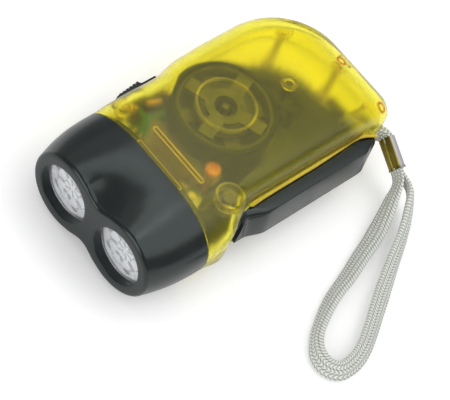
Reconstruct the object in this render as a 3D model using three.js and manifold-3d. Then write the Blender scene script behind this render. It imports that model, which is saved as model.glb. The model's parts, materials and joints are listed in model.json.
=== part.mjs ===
// Squeeze-lever dynamo torch with two lamps and a wrist strap. Millimetres, +Z up.
// Inside the torch group, y runs from the lens face (0) to the tail and z from the floor (0) up.
import * as THREE from 'three';
import { mergeVertices } from 'three/addons/utils/BufferGeometryUtils.js';
import Module from 'manifold-3d';

const wasm = await Module();
wasm.setup();

// Driving dimensions of the body
const bodyLength = 95.5;
const bodyHalfWidth = 27;
const bodyHeight = 27;
const wall = 2;
const gap = 0.3;             // left between pieces that touch
const looseGap = 0.6;
const tightGap = 0.1;
const overrun = 1;           // how far a cutting tool passes the face it cuts
const simplifyBy = 0.015;    // most that dropping spare triangles may move a face
const roundSides = 24;
const smallSides = 16;
const screwSides = 12;
const lampSides = 28;
const ribSides = 32;
const wheelSides = 48;
const seam = 19.6;           // lens face to the joint between head and shell
const tailCornerSwitch = 24; // plan radius of the tail corner on the switch side
const tailCornerLever = 7;
const tailSlope = { run: 20, drop: 8.4 }; // the top falls and the floor rises by drop over the last run
const midHeight = bodyHeight / 2;
const innerTop = bodyHeight - wall;

// Shell plan: share of the way from seam to tail, then each side's width, as shares of the half width:
// switch side first, lever side second
const planShares = [
  [0, 0.952, 0.933], [0.0708, 0.95, 0.93], [0.1148, 0.938, 0.905], [0.1501, 0.927, 0.84],
  [0.1823, 0.92, 0.79], [0.2145, 0.918, 0.75], [0.2681, 0.92, 0.728], [0.311, 0.93, 0.726],
  [0.341, 0.955, 0.726], [0.3754, 0.975, 0.726], [0.4504, 0.992, 0.726], [0.5362, 1, 0.726],
  [1, 1, 0.726],
];
// Section of the shell at seam and at grip: the rounding's width and height as shares of the half section
const seamRoundShares = { width: 0.78, height: 0.985 };
const switchRoundShares = { width: 0.33, height: 0.85 };
const leverRoundShares = { width: 0.24, height: 0.5 };
const gripStartShare = 0.1716;
const seamHeightShare = 0.978;
const roundPower = 2.25;     // 2 is an ellipse, more is squarer
const quadrantSteps = 6;

// Head
const lampSpacing = 22;
const lobeRadius = 11.9;
const headWaist = 8.7;       // half the height of the head between its two lobes
const waistReach = 2;        // how steeply the waist runs out into the lobes
const waistSharpness = 8;
const headEdge = 1.3;        // rounding of the front rim
const headSwell = 2.4;       // how soon the head widens behind its rim; 1 is straight
const lensHoleRadius = 8.4;
const lampBoreRadius = 9.4;
const lensRecess = 2.5;
const lensThickness = 1.4;
const reflectorDepth = 10.1;
const reflectorWall = 0.8;
const ledRadius = 2.5;
const ledLength = 5.3;
const boardThickness = 1.6;
const spigotInset = wall + looseGap;
const spigotWall = 1.3;
const spigotLength = 2.8;
const pocketFloor = 14.9;    // lens face to the floor of the pocket in the back of the head

// Places across the body as shares of the half width, and heights as shares of the body's height
const acrossShares = {
  pivot: 0.61111, leverOuter: 0.92963, leverInner: 0.62593, neck: 0.86296, flywheel: -0.21481,
  cells: -0.54815, cellThickness: 0.21481, trayRib: 0.36296, trayRibEnd: 0.23333, trayScrew: 0.24444,
  strapPost: 0.48889, strapWindow: 0.55556, sideScrew: 0.76296, tailScrew: 0.65926, frontScrew: 0.34074,
  middleScrew: 0.02963,
};
const upShares = {
  lever: 0.33333, plate: 0.11111, wheelLow: 0.22963, flywheelLow: 0.63704, flywheelFloor: 0.05926,
  statorPlate: 0.02963, cell: 0.25926, trayThickness: 0.05185, boardLow: 0.2, boardHeight: 0.40741,
  sideScrewLow: 0.15926, tailScrewLow: 0.12, middleScrewLow: 0.18519, windowLow: 0.37037, windowHigh: 0.57037,
  deck: 0.09259, postLow: 0.11111, postHigh: 0.77778,
};
const placeX = (name) => bodyHalfWidth * acrossShares[name];
const level = (name) => bodyHeight * upShares[name];

// Lever, its pivot and its toothed arc
const pivotX = placeX('pivot');
const pivotFromFace = 31.5;
const leverOuterX = placeX('leverOuter');
const leverInnerX = placeX('leverInner');
const tailToLever = 9.9;
const leverEnd = bodyLength - tailToLever;
const leverChamfer = 5.2;
const leverChamferSide = 2.9;
const leverHeight = level('lever');
const leverEdge = 0.8;
const neckX = placeX('neck');
const neckFrom = 33.57;      // lens face to where the neck leaves the nose
const neckBend = 34.45;
const neckEnd = 36;
const noseBack = 37.7;
const gripInnerFrom = 42.2;
const flareEnd = 42.5;
const hubRadius = 6.2;
const pinRadius = 1.5;
const plateThickness = level('plate');
const plateShares = { inner: 23, web: 36.5, band: 2.8 }; // radii and width of the plate in modules
const webStartAngle = 80;    // degrees from +X about the pivot
const webEndAngle = 129;
const bandEndAngle = 143.5;
const slotStartAngle = 107;
const slotPast = 10;         // degrees the tooth cutter runs past the band's end
const wedgeStep = 3;

// Gears; the room behind the pivot sets the tooth size
const roomModules = { length: 62, width: 50 }; // what the gear train needs each way, in modules
const roomLength = bodyLength - wall - pivotFromFace;
const roomWidth = 2 * (bodyHalfWidth - wall);
const sectorModule = Math.min(roomLength / roomModules.length, roomWidth / roomModules.width);
const wheelModuleShare = 0.8;
const wheelModule = sectorModule * wheelModuleShare;
const sectorTeeth = 94;      // on a full circle
const gearPinionTeeth = 8;
const wheelTeeth = 42;
const rotorPinionTeeth = 10;
const pressureAngle = 20;
const tipShare = 0.95;       // tooth heights as shares of the module
const rootShare = 1.25;
const ringTipShare = 0.8;
const landShare = 0.15;      // least half width of a tooth's tip
const backlash = 0.3;
const gearAngle = 115.6;     // direction from the pivot to the drive gear
const wheelThickness = plateThickness;
const wheelLow = level('wheelLow');
const axleRadius = 1;
const bossRadius = 2.6;
const socketWall = 1.2;

// Flywheel, magnet and stator
const rotorShares = { flywheel: 14.9, arm: 4.4, post: 3, coil: 8.6, rib: 8 }; // in modules
const flywheelX = placeX('flywheel');
const flywheelRadius = rotorShares.flywheel * sectorModule;
const flywheelRim = 1;
const flywheelFloor = level('flywheelFloor');
const flywheelLow = level('flywheelLow');
const magnetThickness = 1;
const statorGap = 0.5;
const armWidth = rotorShares.arm * sectorModule;
const topCrossTurn = 20;     // degrees
const lowCrossTurn = 65;
const statorPlate = level('statorPlate');
const statorPost = rotorShares.post * sectorModule;
const statorClear = 1;       // flywheel floor to the lower cross plate
const coilRadius = rotorShares.coil * sectorModule;
const ribRadius = rotorShares.rib * sectorModule;
const ribWall = 0.7;
const ribHeight = statorPlate;

// Front compartment
const cellRadius = level('cell');
const cellThickness = placeX('cellThickness');
const cellCount = 3;
const cellStartX = placeX('cells');
const cellFromFace = 30.6;
const trayThickness = level('trayThickness');
const trayFrontLip = 4.2;
const trayRibHalf = placeX('trayRib');
const trayRibEnd = placeX('trayRibEnd'); // cut short beside the screw's boss
const trayRibClear = 1.2;
const trayRibTop = innerTop - trayRibClear;
const trayScrewX = placeX('trayScrew');
const trayScrewFromFace = 36.4;
const chargeBoardLength = 18;
const chargeBoardHeight = level('boardHeight');
const chargeBoardLow = level('boardLow');

// Slide switch
const switchFrom = 30;
const switchTo = 44.5;
const switchPlate = 1.2;
const switchHeight = 6.5;
const switchTravel = 3;
const switchBodyDepth = 5;
const switchBodyLength = 12;
const switchStem = 2.4;
const switchRib = 1.3;
const switchRibCount = 5;
const switchRibStep = 1.5;   // from rib to rib in rib lengths

// Case screws: x, distance from the lens face, underside of the head and radius of the boss
const screwHeadRadius = 2.1;
const screwHeadHeight = 1.5;
const screwShankRadius = 1.1;
const screwClear = 5.7;      // tip of the screws to the inside of the top
const screwTop = innerTop - screwClear;
const deepBoss = 3.1;
const seamToSideScrew = 7;
const seamToFrontScrew = 6.6;
const tailToSideScrew = 10.9;
const tailToMiddleScrew = 4.1;
const middleScrewLow = level('middleScrewLow');
const caseScrews = [
  { x: -placeX('sideScrew'), y: seam + seamToSideScrew, low: level('sideScrewLow'), boss: deepBoss },
  { x: placeX('frontScrew'), y: seam + seamToFrontScrew, low: gap, boss: bossRadius },
  { x: -placeX('tailScrew'), y: bodyLength - tailToSideScrew, low: level('tailScrewLow'), boss: deepBoss },
  { x: -placeX('middleScrew'), y: bodyLength - tailToMiddleScrew, low: middleScrewLow, boss: deepBoss },
];

// Deck on the floor of the case: shares of the half width and of the way from seam to tail
const deckShares = [
  [-1, 0.15], [-0.62, 0.15], [-0.62, 0.247], [0.12, 0.247], [0.12, 0.139], [0.3, 0.139], [0.44, 0.252],
  [1, 0.252], [1, 0.912], [0.741, 0.937], [0.407, 0.87], [0.093, 0.888], [-0.185, 0.796],
  [-0.463, 0.69], [-1, 0.717],
];
const deckThickness = level('deck');

// Lock on the lever
const lockWidth = 5;
const lockTongue = 2.6;
const lockThickness = 1.6;
const lockLength = 9;
const lockTravel = 2.5;

// Return spring round the lever's pin
const springRadius = 2.2;
const springWire = 0.7;
const springCurls = 3;
const springSteps = 8;       // straight pieces in one curl
const springSides = 5;
const springPitch = 1.2;
const springLeg = 7;
const springSeat = 2;        // depth of its seat in the lever's hub
const springStop = 1.3;

// Strap
const strapPostX = placeX('strapPost');
const tailToStrapPost = 7.6;
const strapPostFromFace = bodyLength - tailToStrapPost;
const strapPostRadius = 1;
const strapPostLow = level('postLow');
const strapPostHigh = level('postHigh');
const strapTube = 2.4;
const strapSides = 8;
const strapSteps = 64;
const bightSteps = 28;
const postToExit = { x: 9.2, y: 4.4 };
const exitHeight = 0.46667;  // share of the body's height
const strapExit = new THREE.Vector3(
  strapPostX + postToExit.x, strapPostFromFace + postToExit.y, bodyHeight * exitHeight,
);
const exitToEnd = new THREE.Vector3(7.8, -1.9, -2.8);
const ferruleEnd = strapExit.clone().add(exitToEnd);
const ferruleWidth = 6.4;
const ferruleThickness = 5.6;
const ferruleRib = 0.5;
const windowInner = placeX('strapWindow');
const windowLow = level('windowLow');
const windowHigh = level('windowHigh');
const windowLength = 7.4;
const tailToWindow = 1.3;
const windowTo = bodyLength - tailToWindow;
const windowFrom = windowTo - windowLength;

function solid(geometry) {
  const bare = geometry.clone();
  bare.deleteAttribute('normal');
  bare.deleteAttribute('uv');
  const merged = mergeVertices(bare, 1e-4);
  const triVerts = Uint32Array.from(merged.index.array);
  const vertProperties = Float32Array.from(merged.attributes.position.array);
  return new wasm.Manifold(new wasm.Mesh({ numProp: 3, vertProperties, triVerts }));
}

function geometryOf(body) {
  const result = body.getMesh();
  const geometry = new THREE.BufferGeometry();
  geometry.setAttribute('position', new THREE.BufferAttribute(Float32Array.from(result.vertProperties), 3));
  geometry.setIndex(new THREE.BufferAttribute(Uint32Array.from(result.triVerts), 1));
  geometry.computeVertexNormals();
  return geometry;
}

const tidy = (body) => geometryOf(body.simplify(simplifyBy));

function circle(radius, sides = roundSides) {
  return Array.from({ length: sides }, (_, i) => {
    const turn = (i / sides) * 2 * Math.PI;
    return new THREE.Vector2(radius * Math.cos(turn), radius * Math.sin(turn));
  });
}

function prism(points, low, high, holes = []) {
  const shape = new THREE.Shape(points);
  shape.holes = holes.map((hole) => new THREE.Path(hole));
  const geometry = new THREE.ExtrudeGeometry(shape, { depth: high - low, bevelEnabled: false });
  return geometry.translate(0, 0, low);
}

function cylinder(radius, low, high, x, y, sides = roundSides) {
  return prism(circle(radius, sides), low, high).translate(x, y, 0);
}

function ring(outer, inner, low, high, x, y, sides = roundSides) {
  return prism(circle(outer, sides), low, high, [circle(inner, sides)]).translate(x, y, 0);
}

function box(lowX, highX, lowY, highY, lowZ, highZ) {
  const geometry = new THREE.BoxGeometry(highX - lowX, highY - lowY, highZ - lowZ);
  return geometry.translate((lowX + highX) / 2, (lowY + highY) / 2, (lowZ + highZ) / 2);
}

// Skin through rings of points, closed by a fan at each end, facing outwards
function loft(rings) {
  const count = rings[0].length;
  const points = rings.flat();
  const faces = [];
  for (let r = 0; r + 1 < rings.length; r += 1) {
    for (let i = 0; i < count; i += 1) {
      const a = r * count + i;
      const b = r * count + ((i + 1) % count);
      faces.push(a, b, a + count, b, b + count, a + count);
    }
  }
  for (const [start, flip] of [[0, true], [(rings.length - 1) * count, false]]) {
    const centre = new THREE.Vector3();
    for (let i = 0; i < count; i += 1) centre.add(points[start + i]);
    points.push(centre.divideScalar(count));
    for (let i = 0; i < count; i += 1) {
      const next = start + ((i + 1) % count);
      if (flip) faces.push(points.length - 1, next, start + i);
      else faces.push(points.length - 1, start + i, next);
    }
  }
  const geometry = new THREE.BufferGeometry().setFromPoints(points);
  let volume = 0;
  for (let f = 0; f < faces.length; f += 3) {
    const [a, b, c] = [points[faces[f]], points[faces[f + 1]], points[faces[f + 2]]];
    volume += a.dot(new THREE.Vector3().crossVectors(b, c));
  }
  if (volume < 0) faces.reverse();
  geometry.setIndex(faces);
  return geometry;
}

function planAt(distance) {
  const share = (distance - seam) / (bodyLength - seam);
  let i = 0;
  while (i < planShares.length - 2 && planShares[i + 1][0] < share) i += 1;
  const [startShare, startSwitch, startLever] = planShares[i];
  const [endShare, endSwitch, endLever] = planShares[i + 1];
  const blend = Math.max(0, (share - startShare) / (endShare - startShare));
  return {
    switchSide: bodyHalfWidth * THREE.MathUtils.lerp(startSwitch, endSwitch, blend),
    leverSide: bodyHalfWidth * THREE.MathUtils.lerp(startLever, endLever, blend),
    grip: THREE.MathUtils.clamp(share / gripStartShare, 0, 1),
  };
}

// How much a rounded end of the given radius has drawn in at a distance
function drawnIn(distance, end, radius) {
  const past = Math.max(0, distance - (end - radius));
  return radius - Math.sqrt(Math.max(0, radius * radius - past * past));
}

// How much lower the top is at a distance, a quarter ellipse towards the tail
function fallenBy(distance, end, inset) {
  const run = tailSlope.run - inset / 2;
  return (tailSlope.drop * drawnIn(distance, end, run)) / run;
}

// One closed section of the shell, drawn in by inset from its outer face
function shellRing(distance, inset) {
  const plan = planAt(distance);
  const end = bodyLength - inset;
  const tall = THREE.MathUtils.lerp(midHeight * seamHeightShare, midHeight, plan.grip) - inset
    - fallenBy(distance, end, inset);
  const sides = [
    [plan.leverSide - inset - drawnIn(distance, end, tailCornerLever - inset), leverRoundShares, 1],
    [plan.switchSide - inset - drawnIn(distance, end, tailCornerSwitch - inset), switchRoundShares, -1],
  ];
  const points = [];
  for (const [quadrant, side, up] of [[0, 0, 1], [1, 1, 1], [2, 1, -1], [3, 0, -1]]) {
    const [half, gripRound, sign] = sides[side];
    const roundWidth = half * THREE.MathUtils.lerp(seamRoundShares.width, gripRound.width, plan.grip);
    const roundHeight = tall * THREE.MathUtils.lerp(seamRoundShares.height, gripRound.height, plan.grip);
    for (let i = 0; i <= quadrantSteps; i += 1) {
      const share = quadrant % 2 === 0 ? i / quadrantSteps : 1 - i / quadrantSteps;
      const turn = (share * Math.PI) / 2;
      const across = half - roundWidth + roundWidth * Math.cos(turn) ** (2 / roundPower);
      const height = tall - roundHeight + roundHeight * Math.sin(turn) ** (2 / roundPower);
      points.push(new THREE.Vector3(sign * across, distance, midHeight + up * height));
    }
  }
  return points;
}

function shellSolid(start, inset) {
  const end = bodyLength - inset;
  const tailShares = [0.35, 0.6, 0.78, 0.9, 0.97, 1];
  const stations = planShares.slice(1, -1).map(([share]) => seam + share * (bodyLength - seam));
  const tail = end - tailCornerSwitch;
  const ends = tailShares.map((share) => tail + share * tailCornerSwitch);
  return solid(loft([start, ...stations, tail, ...ends].map((at) => shellRing(at, inset))));
}

function ovalSolid(inset, from, to) {
  const rings = [from, to].map((at) => shellRing(seam, inset).map((p) => p.clone().setY(at)));
  return solid(loft(rings));
}

function lobeTop(x) {
  const across = Math.abs(x) - lampSpacing / 2;
  const round = Math.sqrt(Math.max(0, lobeRadius * lobeRadius - across * across));
  if (across >= 0) return round;
  const inward = -across / (lampSpacing / 2);
  const waist = headWaist * Math.min(1, inward * waistReach);
  return (round ** waistSharpness + waist ** waistSharpness) ** (1 / waistSharpness);
}

function headRing(distance, shrink) {
  const share = THREE.MathUtils.clamp((distance - headEdge) / (seam - headEdge), 0, 1);
  const blend = 1 - (1 - share) ** headSwell;
  const frontHalf = lampSpacing / 2 + lobeRadius;
  const oval = shellRing(seam, 0);
  const ovalHalf = Math.max(...oval.map((p) => Math.abs(p.x)));
  return oval.map((p) => {
    const frontX = (frontHalf * p.x) / ovalHalf;
    const up = Math.sign(p.z - midHeight);
    const frontZ = up * lobeTop(frontX);
    const x = THREE.MathUtils.lerp(frontX, p.x, blend);
    const z = THREE.MathUtils.lerp(frontZ, p.z - midHeight, blend);
    return new THREE.Vector3(x * (1 - shrink / frontHalf), distance,
      midHeight + z * (1 - shrink / lobeRadius));
  });
}

const alongY = (radius, from, to, x, sides = lampSides) =>
  cylinder(radius, -to, -from, x, midHeight, sides).applyMatrix4(
    new THREE.Matrix4().set(1, 0, 0, 0, 0, 0, -1, 0, 0, 1, 0, 0, 0, 0, 0, 1),
  );

function headBezel() {
  const rimShares = [0, 0.4, 1];
  const rim = rimShares.map((share) => {
    const shrink = headEdge * (1 - Math.sqrt(1 - (1 - share) ** 2));
    return headRing(headEdge * share, shrink);
  });
  const bodyShares = [0.2, 0.38, 0.55, 0.75, 1];
  const back = seam - gap / 2;
  const body = bodyShares.map((share) => headRing(headEdge + (back - headEdge) * share, 0));
  let head = solid(loft([...rim, ...body]));
  head = head.add(ovalSolid(spigotInset, back - overrun, back + spigotLength));
  head = head.subtract(ovalSolid(spigotInset + spigotWall, pocketFloor, back + spigotLength + overrun));
  for (const x of [-lampSpacing / 2, lampSpacing / 2]) {
    head = head.subtract(solid(alongY(lensHoleRadius, -overrun, pocketFloor + overrun, x)));
    head = head.subtract(solid(alongY(lampBoreRadius, lensRecess, pocketFloor + overrun, x)));
  }
  return tidy(head);
}

const lampX = (side) => (side * lampSpacing) / 2;

// Profile of radius and distance from the lens face, spun about a lamp's axis
function spun(profile, side, segments = lampSides) {
  const points = profile.map(([radius, distance]) => new THREE.Vector2(radius, -distance));
  const geometry = new THREE.LatheGeometry(points, segments);
  geometry.applyMatrix4(new THREE.Matrix4().set(1, 0, 0, 0, 0, -1, 0, 0, 0, 0, -1, 0, 0, 0, 0, 1));
  return solid(geometry.translate(lampX(side), 0, midHeight));
}

const lensFrom = lensRecess + gap;
const reflectorFrom = lensFrom + lensThickness + gap;
const lampFitRadius = lampBoreRadius - gap;

function lens(side) {
  return alongY(lampFitRadius, lensFrom, lensFrom + lensThickness, lampX(side));
}

function reflector(side) {
  const back = reflectorFrom + reflectorDepth;
  const throat = ledRadius + looseGap;
  const mouth = lampFitRadius - reflectorWall;
  const cupShares = [1, 0.75, 0.5, 0.25, 0];
  const cup = cupShares.map((share) => [
    throat + (mouth - throat) * Math.sqrt(share), back - reflectorDepth * share,
  ]);
  const outside = cupShares.slice().reverse().map((share) => [
    throat + reflectorWall + (mouth - throat) * Math.sqrt(share), back - reflectorDepth * share,
  ]);
  return geometryOf(spun([...cup, ...outside, cup[0]], side));
}

function led(side) {
  const base = pocketFloor;
  const domeShares = [0, 0.3, 0.6, 0.85];
  const straight = base - ledLength + ledRadius;
  const dome = domeShares.map((share) => [
    ledRadius * Math.cos((share * Math.PI) / 2), straight - ledRadius * Math.sin((share * Math.PI) / 2),
  ]);
  const profile = [[0, base], [ledRadius, base], ...dome, [0, straight - ledRadius]];
  return geometryOf(spun(profile, side, smallSides));
}

function ledBoard() {
  const from = pocketFloor + gap;
  return tidy(ovalSolid(spigotInset + spigotWall + gap, from, from + boardThickness));
}

// Heights in the mechanism
const plateLow = midHeight - plateThickness / 2;
const plateHigh = midHeight + plateThickness / 2;
const leverLow = midHeight - leverHeight / 2;
const leverHigh = midHeight + leverHeight / 2;
const magnetHigh = innerTop - looseGap - statorPlate;
const radians = THREE.MathUtils.degToRad;

// Gear centres, worked out from the tooth counts
const sectorPitch = (sectorModule * sectorTeeth) / 2;
const gearPinionPitch = (sectorModule * gearPinionTeeth) / 2;
const pivotToGear = sectorPitch - gearPinionPitch;
const gearX = pivotX + pivotToGear * Math.cos(radians(gearAngle));
const gearFromFace = pivotFromFace + pivotToGear * Math.sin(radians(gearAngle));
const wheelPitch = (wheelModule * wheelTeeth) / 2;
const rotorPinionPitch = (wheelModule * rotorPinionTeeth) / 2;
const gearToFlywheel = wheelPitch + rotorPinionPitch;
const flywheelFromFace = gearFromFace - Math.sqrt(gearToFlywheel ** 2 - (gearX - flywheelX) ** 2);
const meshAngle = Math.atan2(flywheelFromFace - gearFromFace, flywheelX - gearX);
const bandRadius = sectorPitch + (rootShare + plateShares.band) * sectorModule;
const plateInner = plateShares.inner * sectorModule;
const plateWeb = plateShares.web * sectorModule;

const involute = (angle) => Math.tan(angle) - angle;

const polar = (radius, angle) => new THREE.Vector2(radius * Math.cos(angle), radius * Math.sin(angle));

// Outline of a gear with one tooth centred on phase; internal swaps tip and root for a ring gear's cutter
function toothed(teeth, module, phase, internal = false) {
  const pitch = (module * teeth) / 2;
  const base = pitch * Math.cos(radians(pressureAngle));
  const tip = pitch + (internal ? rootShare : tipShare) * module;
  const root = pitch - (internal ? ringTipShare : rootShare) * module;
  const play = (internal ? backlash : -backlash) / 2 / pitch;
  const halfAtPitch = Math.PI / 2 / teeth + play / 2;
  const start = Math.max(root, base);
  const flankShares = [0, 0.5, 1];
  const flank = flankShares.map((share) => {
    const radius = start + (tip - start) * share;
    const angle = Math.acos(Math.min(1, base / radius));
    const half = halfAtPitch + involute(radians(pressureAngle)) - involute(angle);
    return [radius, Math.max(half, (landShare * module) / radius)];
  });
  if (root < base) flank.unshift([root, flank[0][1]]);
  const points = [];
  for (let i = 0; i < teeth; i += 1) {
    const centre = phase + (i / teeth) * 2 * Math.PI;
    for (const [radius, half] of flank) points.push([radius, centre - half]);
    for (const [radius, half] of flank.slice().reverse()) points.push([radius, centre + half]);
  }
  return points.map(([radius, angle]) => polar(radius, angle));
}

function gearSolid(teeth, module, phase, low, high, x, y) {
  return solid(prism(toothed(teeth, module, phase), low, high).translate(x, y, 0));
}

// Slice of a ring about the lever's pivot
function wedge(inner, outer, startAngle, endAngle, low, high) {
  const steps = Math.round((endAngle - startAngle) / wedgeStep);
  const angles = Array.from({ length: steps + 1 }, (_, i) =>
    radians(THREE.MathUtils.lerp(startAngle, endAngle, i / steps)));
  const points = [...angles.map((a) => polar(outer, a)), ...angles.reverse().map((a) => polar(inner, a))];
  return solid(prism(points, low, high).translate(pivotX, pivotFromFace, 0));
}

// Plan of the lever's grip: nose round the pivot, neck, flare, straight outer face and chamfered end
function leverPlan(grow) {
  const noseAngles = [180, 215, 250, 285, 320, 350];
  const nose = noseAngles.map((angle) => new THREE.Vector2(
    pivotX + (hubRadius + grow) * Math.cos(radians(angle)),
    pivotFromFace + (hubRadius + grow) * Math.sin(radians(angle)),
  ));
  const outer = leverOuterX + grow;
  const end = leverEnd + grow;
  const flareShares = [0.25, 0.6, 1];
  const flare = flareShares.map((share) => new THREE.Vector2(
    THREE.MathUtils.lerp(neckX + grow, outer, THREE.MathUtils.smoothstep(share, 0, 1)),
    THREE.MathUtils.lerp(neckEnd, flareEnd, share),
  ));
  return [
    ...nose, new THREE.Vector2(neckX + grow, neckFrom), new THREE.Vector2(neckX + grow, neckBend), ...flare,
    new THREE.Vector2(outer, end - leverChamfer), new THREE.Vector2(outer - leverChamferSide, end),
    new THREE.Vector2(leverInnerX - grow, end), new THREE.Vector2(leverInnerX - grow, gripInnerFrom),
    new THREE.Vector2(pivotX - hubRadius - grow, noseBack),
  ];
}

// The lock is a plate in the grip's underside whose tongue slides behind the shell's wall
const lockLow = leverLow + looseGap;
const lockPadEnd = leverEnd - lockTravel - looseGap;
const lockInnerX = leverInnerX - lockTongue;
const lockOuterX = leverInnerX + lockWidth;

function lockChannel() {
  return box(lockInnerX - gap, lockOuterX + gap, lockPadEnd - lockLength - gap, leverEnd + overrun,
    leverLow - overrun, lockLow + lockThickness + gap);
}

function squeezeLever() {
  const core = solid(prism(leverPlan(-leverEdge), leverLow, leverHigh));
  let lever = core.add(solid(prism(leverPlan(0), leverLow + leverEdge, leverHigh - leverEdge)));
  const webAngles = [webStartAngle, webEndAngle];
  lever = lever.add(wedge(plateInner, plateWeb, ...webAngles, plateLow, plateHigh));
  lever = lever.add(wedge(plateInner, bandRadius, webStartAngle, slotStartAngle, plateLow, plateHigh));
  lever = lever.add(wedge(sectorPitch, bandRadius, webStartAngle, bandEndAngle, plateLow, plateHigh));
  lever = lever.add(wedge(hubRadius / 2, plateInner + gap, webStartAngle, slotStartAngle,
    plateLow, plateHigh));
  const spaces = toothed(sectorTeeth, sectorModule, radians(gearAngle), true);
  const cutter = solid(prism(spaces, plateLow - overrun, plateHigh + overrun)
    .translate(pivotX, pivotFromFace, 0));
  const reach = wedge(pivotToGear - gearPinionPitch - 2 * sectorModule, bandRadius, slotStartAngle,
    bandEndAngle + slotPast, plateLow - overrun, plateHigh + overrun);
  lever = lever.subtract(cutter.intersect(reach));
  lever = lever.subtract(solid(cylinder(pinRadius + tightGap, 0, bodyHeight, pivotX, pivotFromFace)));
  lever = lever.subtract(solid(lockChannel()));
  const seat = [leverHigh - springSeat, leverHigh + overrun];
  lever = lever.subtract(solid(cylinder(springRadius + springWire, ...seat, pivotX, pivotFromFace)));
  const legX = pivotX - springRadius;
  lever = lever.subtract(solid(box(legX - springWire, legX + springWire, pivotFromFace,
    pivotFromFace + springLeg + springWire, ...seat)));
  return tidy(lever);
}

function lockSlider() {
  const high = lockLow + lockThickness;
  const from = lockPadEnd - lockLength;
  let slider = solid(box(leverInnerX, lockOuterX, from, lockPadEnd, lockLow, high));
  const tongue = box(lockInnerX, leverInnerX + gap, lockPadEnd - lockTongue, leverEnd - gap, lockLow, high);
  slider = slider.add(solid(tongue));
  const ribShares = [0.2, 0.35, 0.5, 0.65];
  for (const share of ribShares) {
    const at = from + lockLength * share;
    const across = [leverInnerX + lockTongue, lockOuterX];
    slider = slider.add(solid(box(...across, at - gap, at + gap, leverLow, lockLow + gap)));
  }
  return tidy(slider);
}

function driveGear() {
  const at = [gearX, gearFromFace];
  const wheelHigh = wheelLow + wheelThickness;
  const pinionPhase = radians(gearAngle);
  const pinionHigh = plateHigh + gap;
  let gear = gearSolid(wheelTeeth, wheelModule, meshAngle, wheelLow, wheelHigh, ...at);
  gear = gear.add(gearSolid(gearPinionTeeth, sectorModule, pinionPhase, wheelHigh - gap, pinionHigh, ...at));
  gear = gear.add(solid(cylinder(bossRadius - gap, wall + looseGap, wheelLow + gap, ...at)));
  gear = gear.add(solid(cylinder(bossRadius - gap, pinionHigh - gap, flywheelLow, ...at)));
  return tidy(gear.subtract(solid(cylinder(axleRadius + tightGap, 0, bodyHeight, ...at))));
}

function flywheel() {
  const at = [flywheelX, flywheelFromFace];
  const cupLow = flywheelLow + flywheelFloor;
  const inside = flywheelRadius - flywheelRim;
  let wheel = solid(cylinder(flywheelRadius, flywheelLow, magnetHigh, ...at, wheelSides));
  wheel = wheel.subtract(solid(cylinder(inside, cupLow, magnetHigh + overrun, ...at, wheelSides)));
  wheel = wheel.add(solid(cylinder(bossRadius, wheelLow + wheelThickness + gap, flywheelLow + gap, ...at)));
  return tidy(wheel.subtract(solid(cylinder(axleRadius + tightGap, 0, bodyHeight, ...at))));
}

function magnetRing() {
  const outer = flywheelRadius - flywheelRim - gap;
  const low = flywheelLow + flywheelFloor + gap;
  return ring(outer, outer - magnetThickness, low, magnetHigh - gap,
    flywheelX, flywheelFromFace, wheelSides);
}

function rotorPinion() {
  const phase = meshAngle + Math.PI + Math.PI / rotorPinionTeeth;
  const low = wall + looseGap;
  const pinion = gearSolid(rotorPinionTeeth, wheelModule, phase, low, wheelLow + wheelThickness,
    flywheelX, flywheelFromFace);
  const bore = cylinder(axleRadius + tightGap, 0, bodyHeight, flywheelX, flywheelFromFace);
  return tidy(pinion.subtract(solid(bore)));
}

// Stator parts, from the top down: cross plate, bobbin with its coil, lower cross plate
const statorTop = innerTop - ribHeight - gap;
const statorReach = flywheelRadius - flywheelRim - gap - magnetThickness - statorGap;
const coilHigh = statorTop - statorPlate - gap;
const coilLow = flywheelLow + flywheelFloor + statorClear + statorPlate + gap;

function crossPlate(low, turn) {
  const half = statorReach;
  let cross = solid(cylinder(statorPost + looseGap + armWidth / 2, low, low + statorPlate, 0, 0));
  for (const angle of [0, Math.PI / 2]) {
    const arm = box(-half, half, -armWidth / 2, armWidth / 2, low, low + statorPlate).rotateZ(angle);
    cross = cross.add(solid(arm));
  }
  const bore = cylinder(statorPost + gap, low - overrun, low + statorPlate + overrun, 0, 0);
  cross = cross.subtract(solid(bore));
  return tidy(cross).rotateZ(turn).translate(flywheelX, flywheelFromFace, 0);
}

function bobbin() {
  const at = [flywheelX, flywheelFromFace];
  const core = statorPost + gap + socketWall;
  const flange = statorPlate / 2;
  let body = solid(cylinder(core, coilLow, coilHigh, ...at));
  body = body.add(solid(cylinder(coilRadius, coilLow, coilLow + flange, ...at)));
  body = body.add(solid(cylinder(coilRadius, coilHigh - flange, coilHigh, ...at)));
  const bore = cylinder(statorPost + gap, coilLow - overrun, coilHigh + overrun, ...at);
  return tidy(body.subtract(solid(bore)));
}

function winding() {
  const core = statorPost + gap + socketWall + gap;
  const flange = statorPlate / 2 + tightGap;
  return ring(coilRadius - gap, core, coilLow + flange, coilHigh - flange, flywheelX, flywheelFromFace);
}

function axle(radius, low, high, x, y) {
  return cylinder(radius, low, high, x, y, smallSides);
}

// Screw with its head down, driven upwards
function caseScrew({ x, y, low }) {
  const head = solid(cylinder(screwHeadRadius, low, low + screwHeadHeight, x, y, smallSides));
  return tidy(head.add(solid(cylinder(screwShankRadius, low + gap, screwTop, x, y, screwSides))));
}

function cell(i) {
  const x = cellStartX + i * (cellThickness + gap);
  const z = wall + gap + cellRadius;
  return new THREE.CylinderGeometry(cellRadius, cellRadius, cellThickness, roundSides)
    .rotateZ(Math.PI / 2).translate(x + cellThickness / 2, cellFromFace, z);
}

const cellsEnd = cellStartX + cellCount * (cellThickness + gap);
const trayLow = wall + 2 * cellRadius + looseGap;
const trayBack = flywheelFromFace - flywheelRadius - gap;

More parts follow.
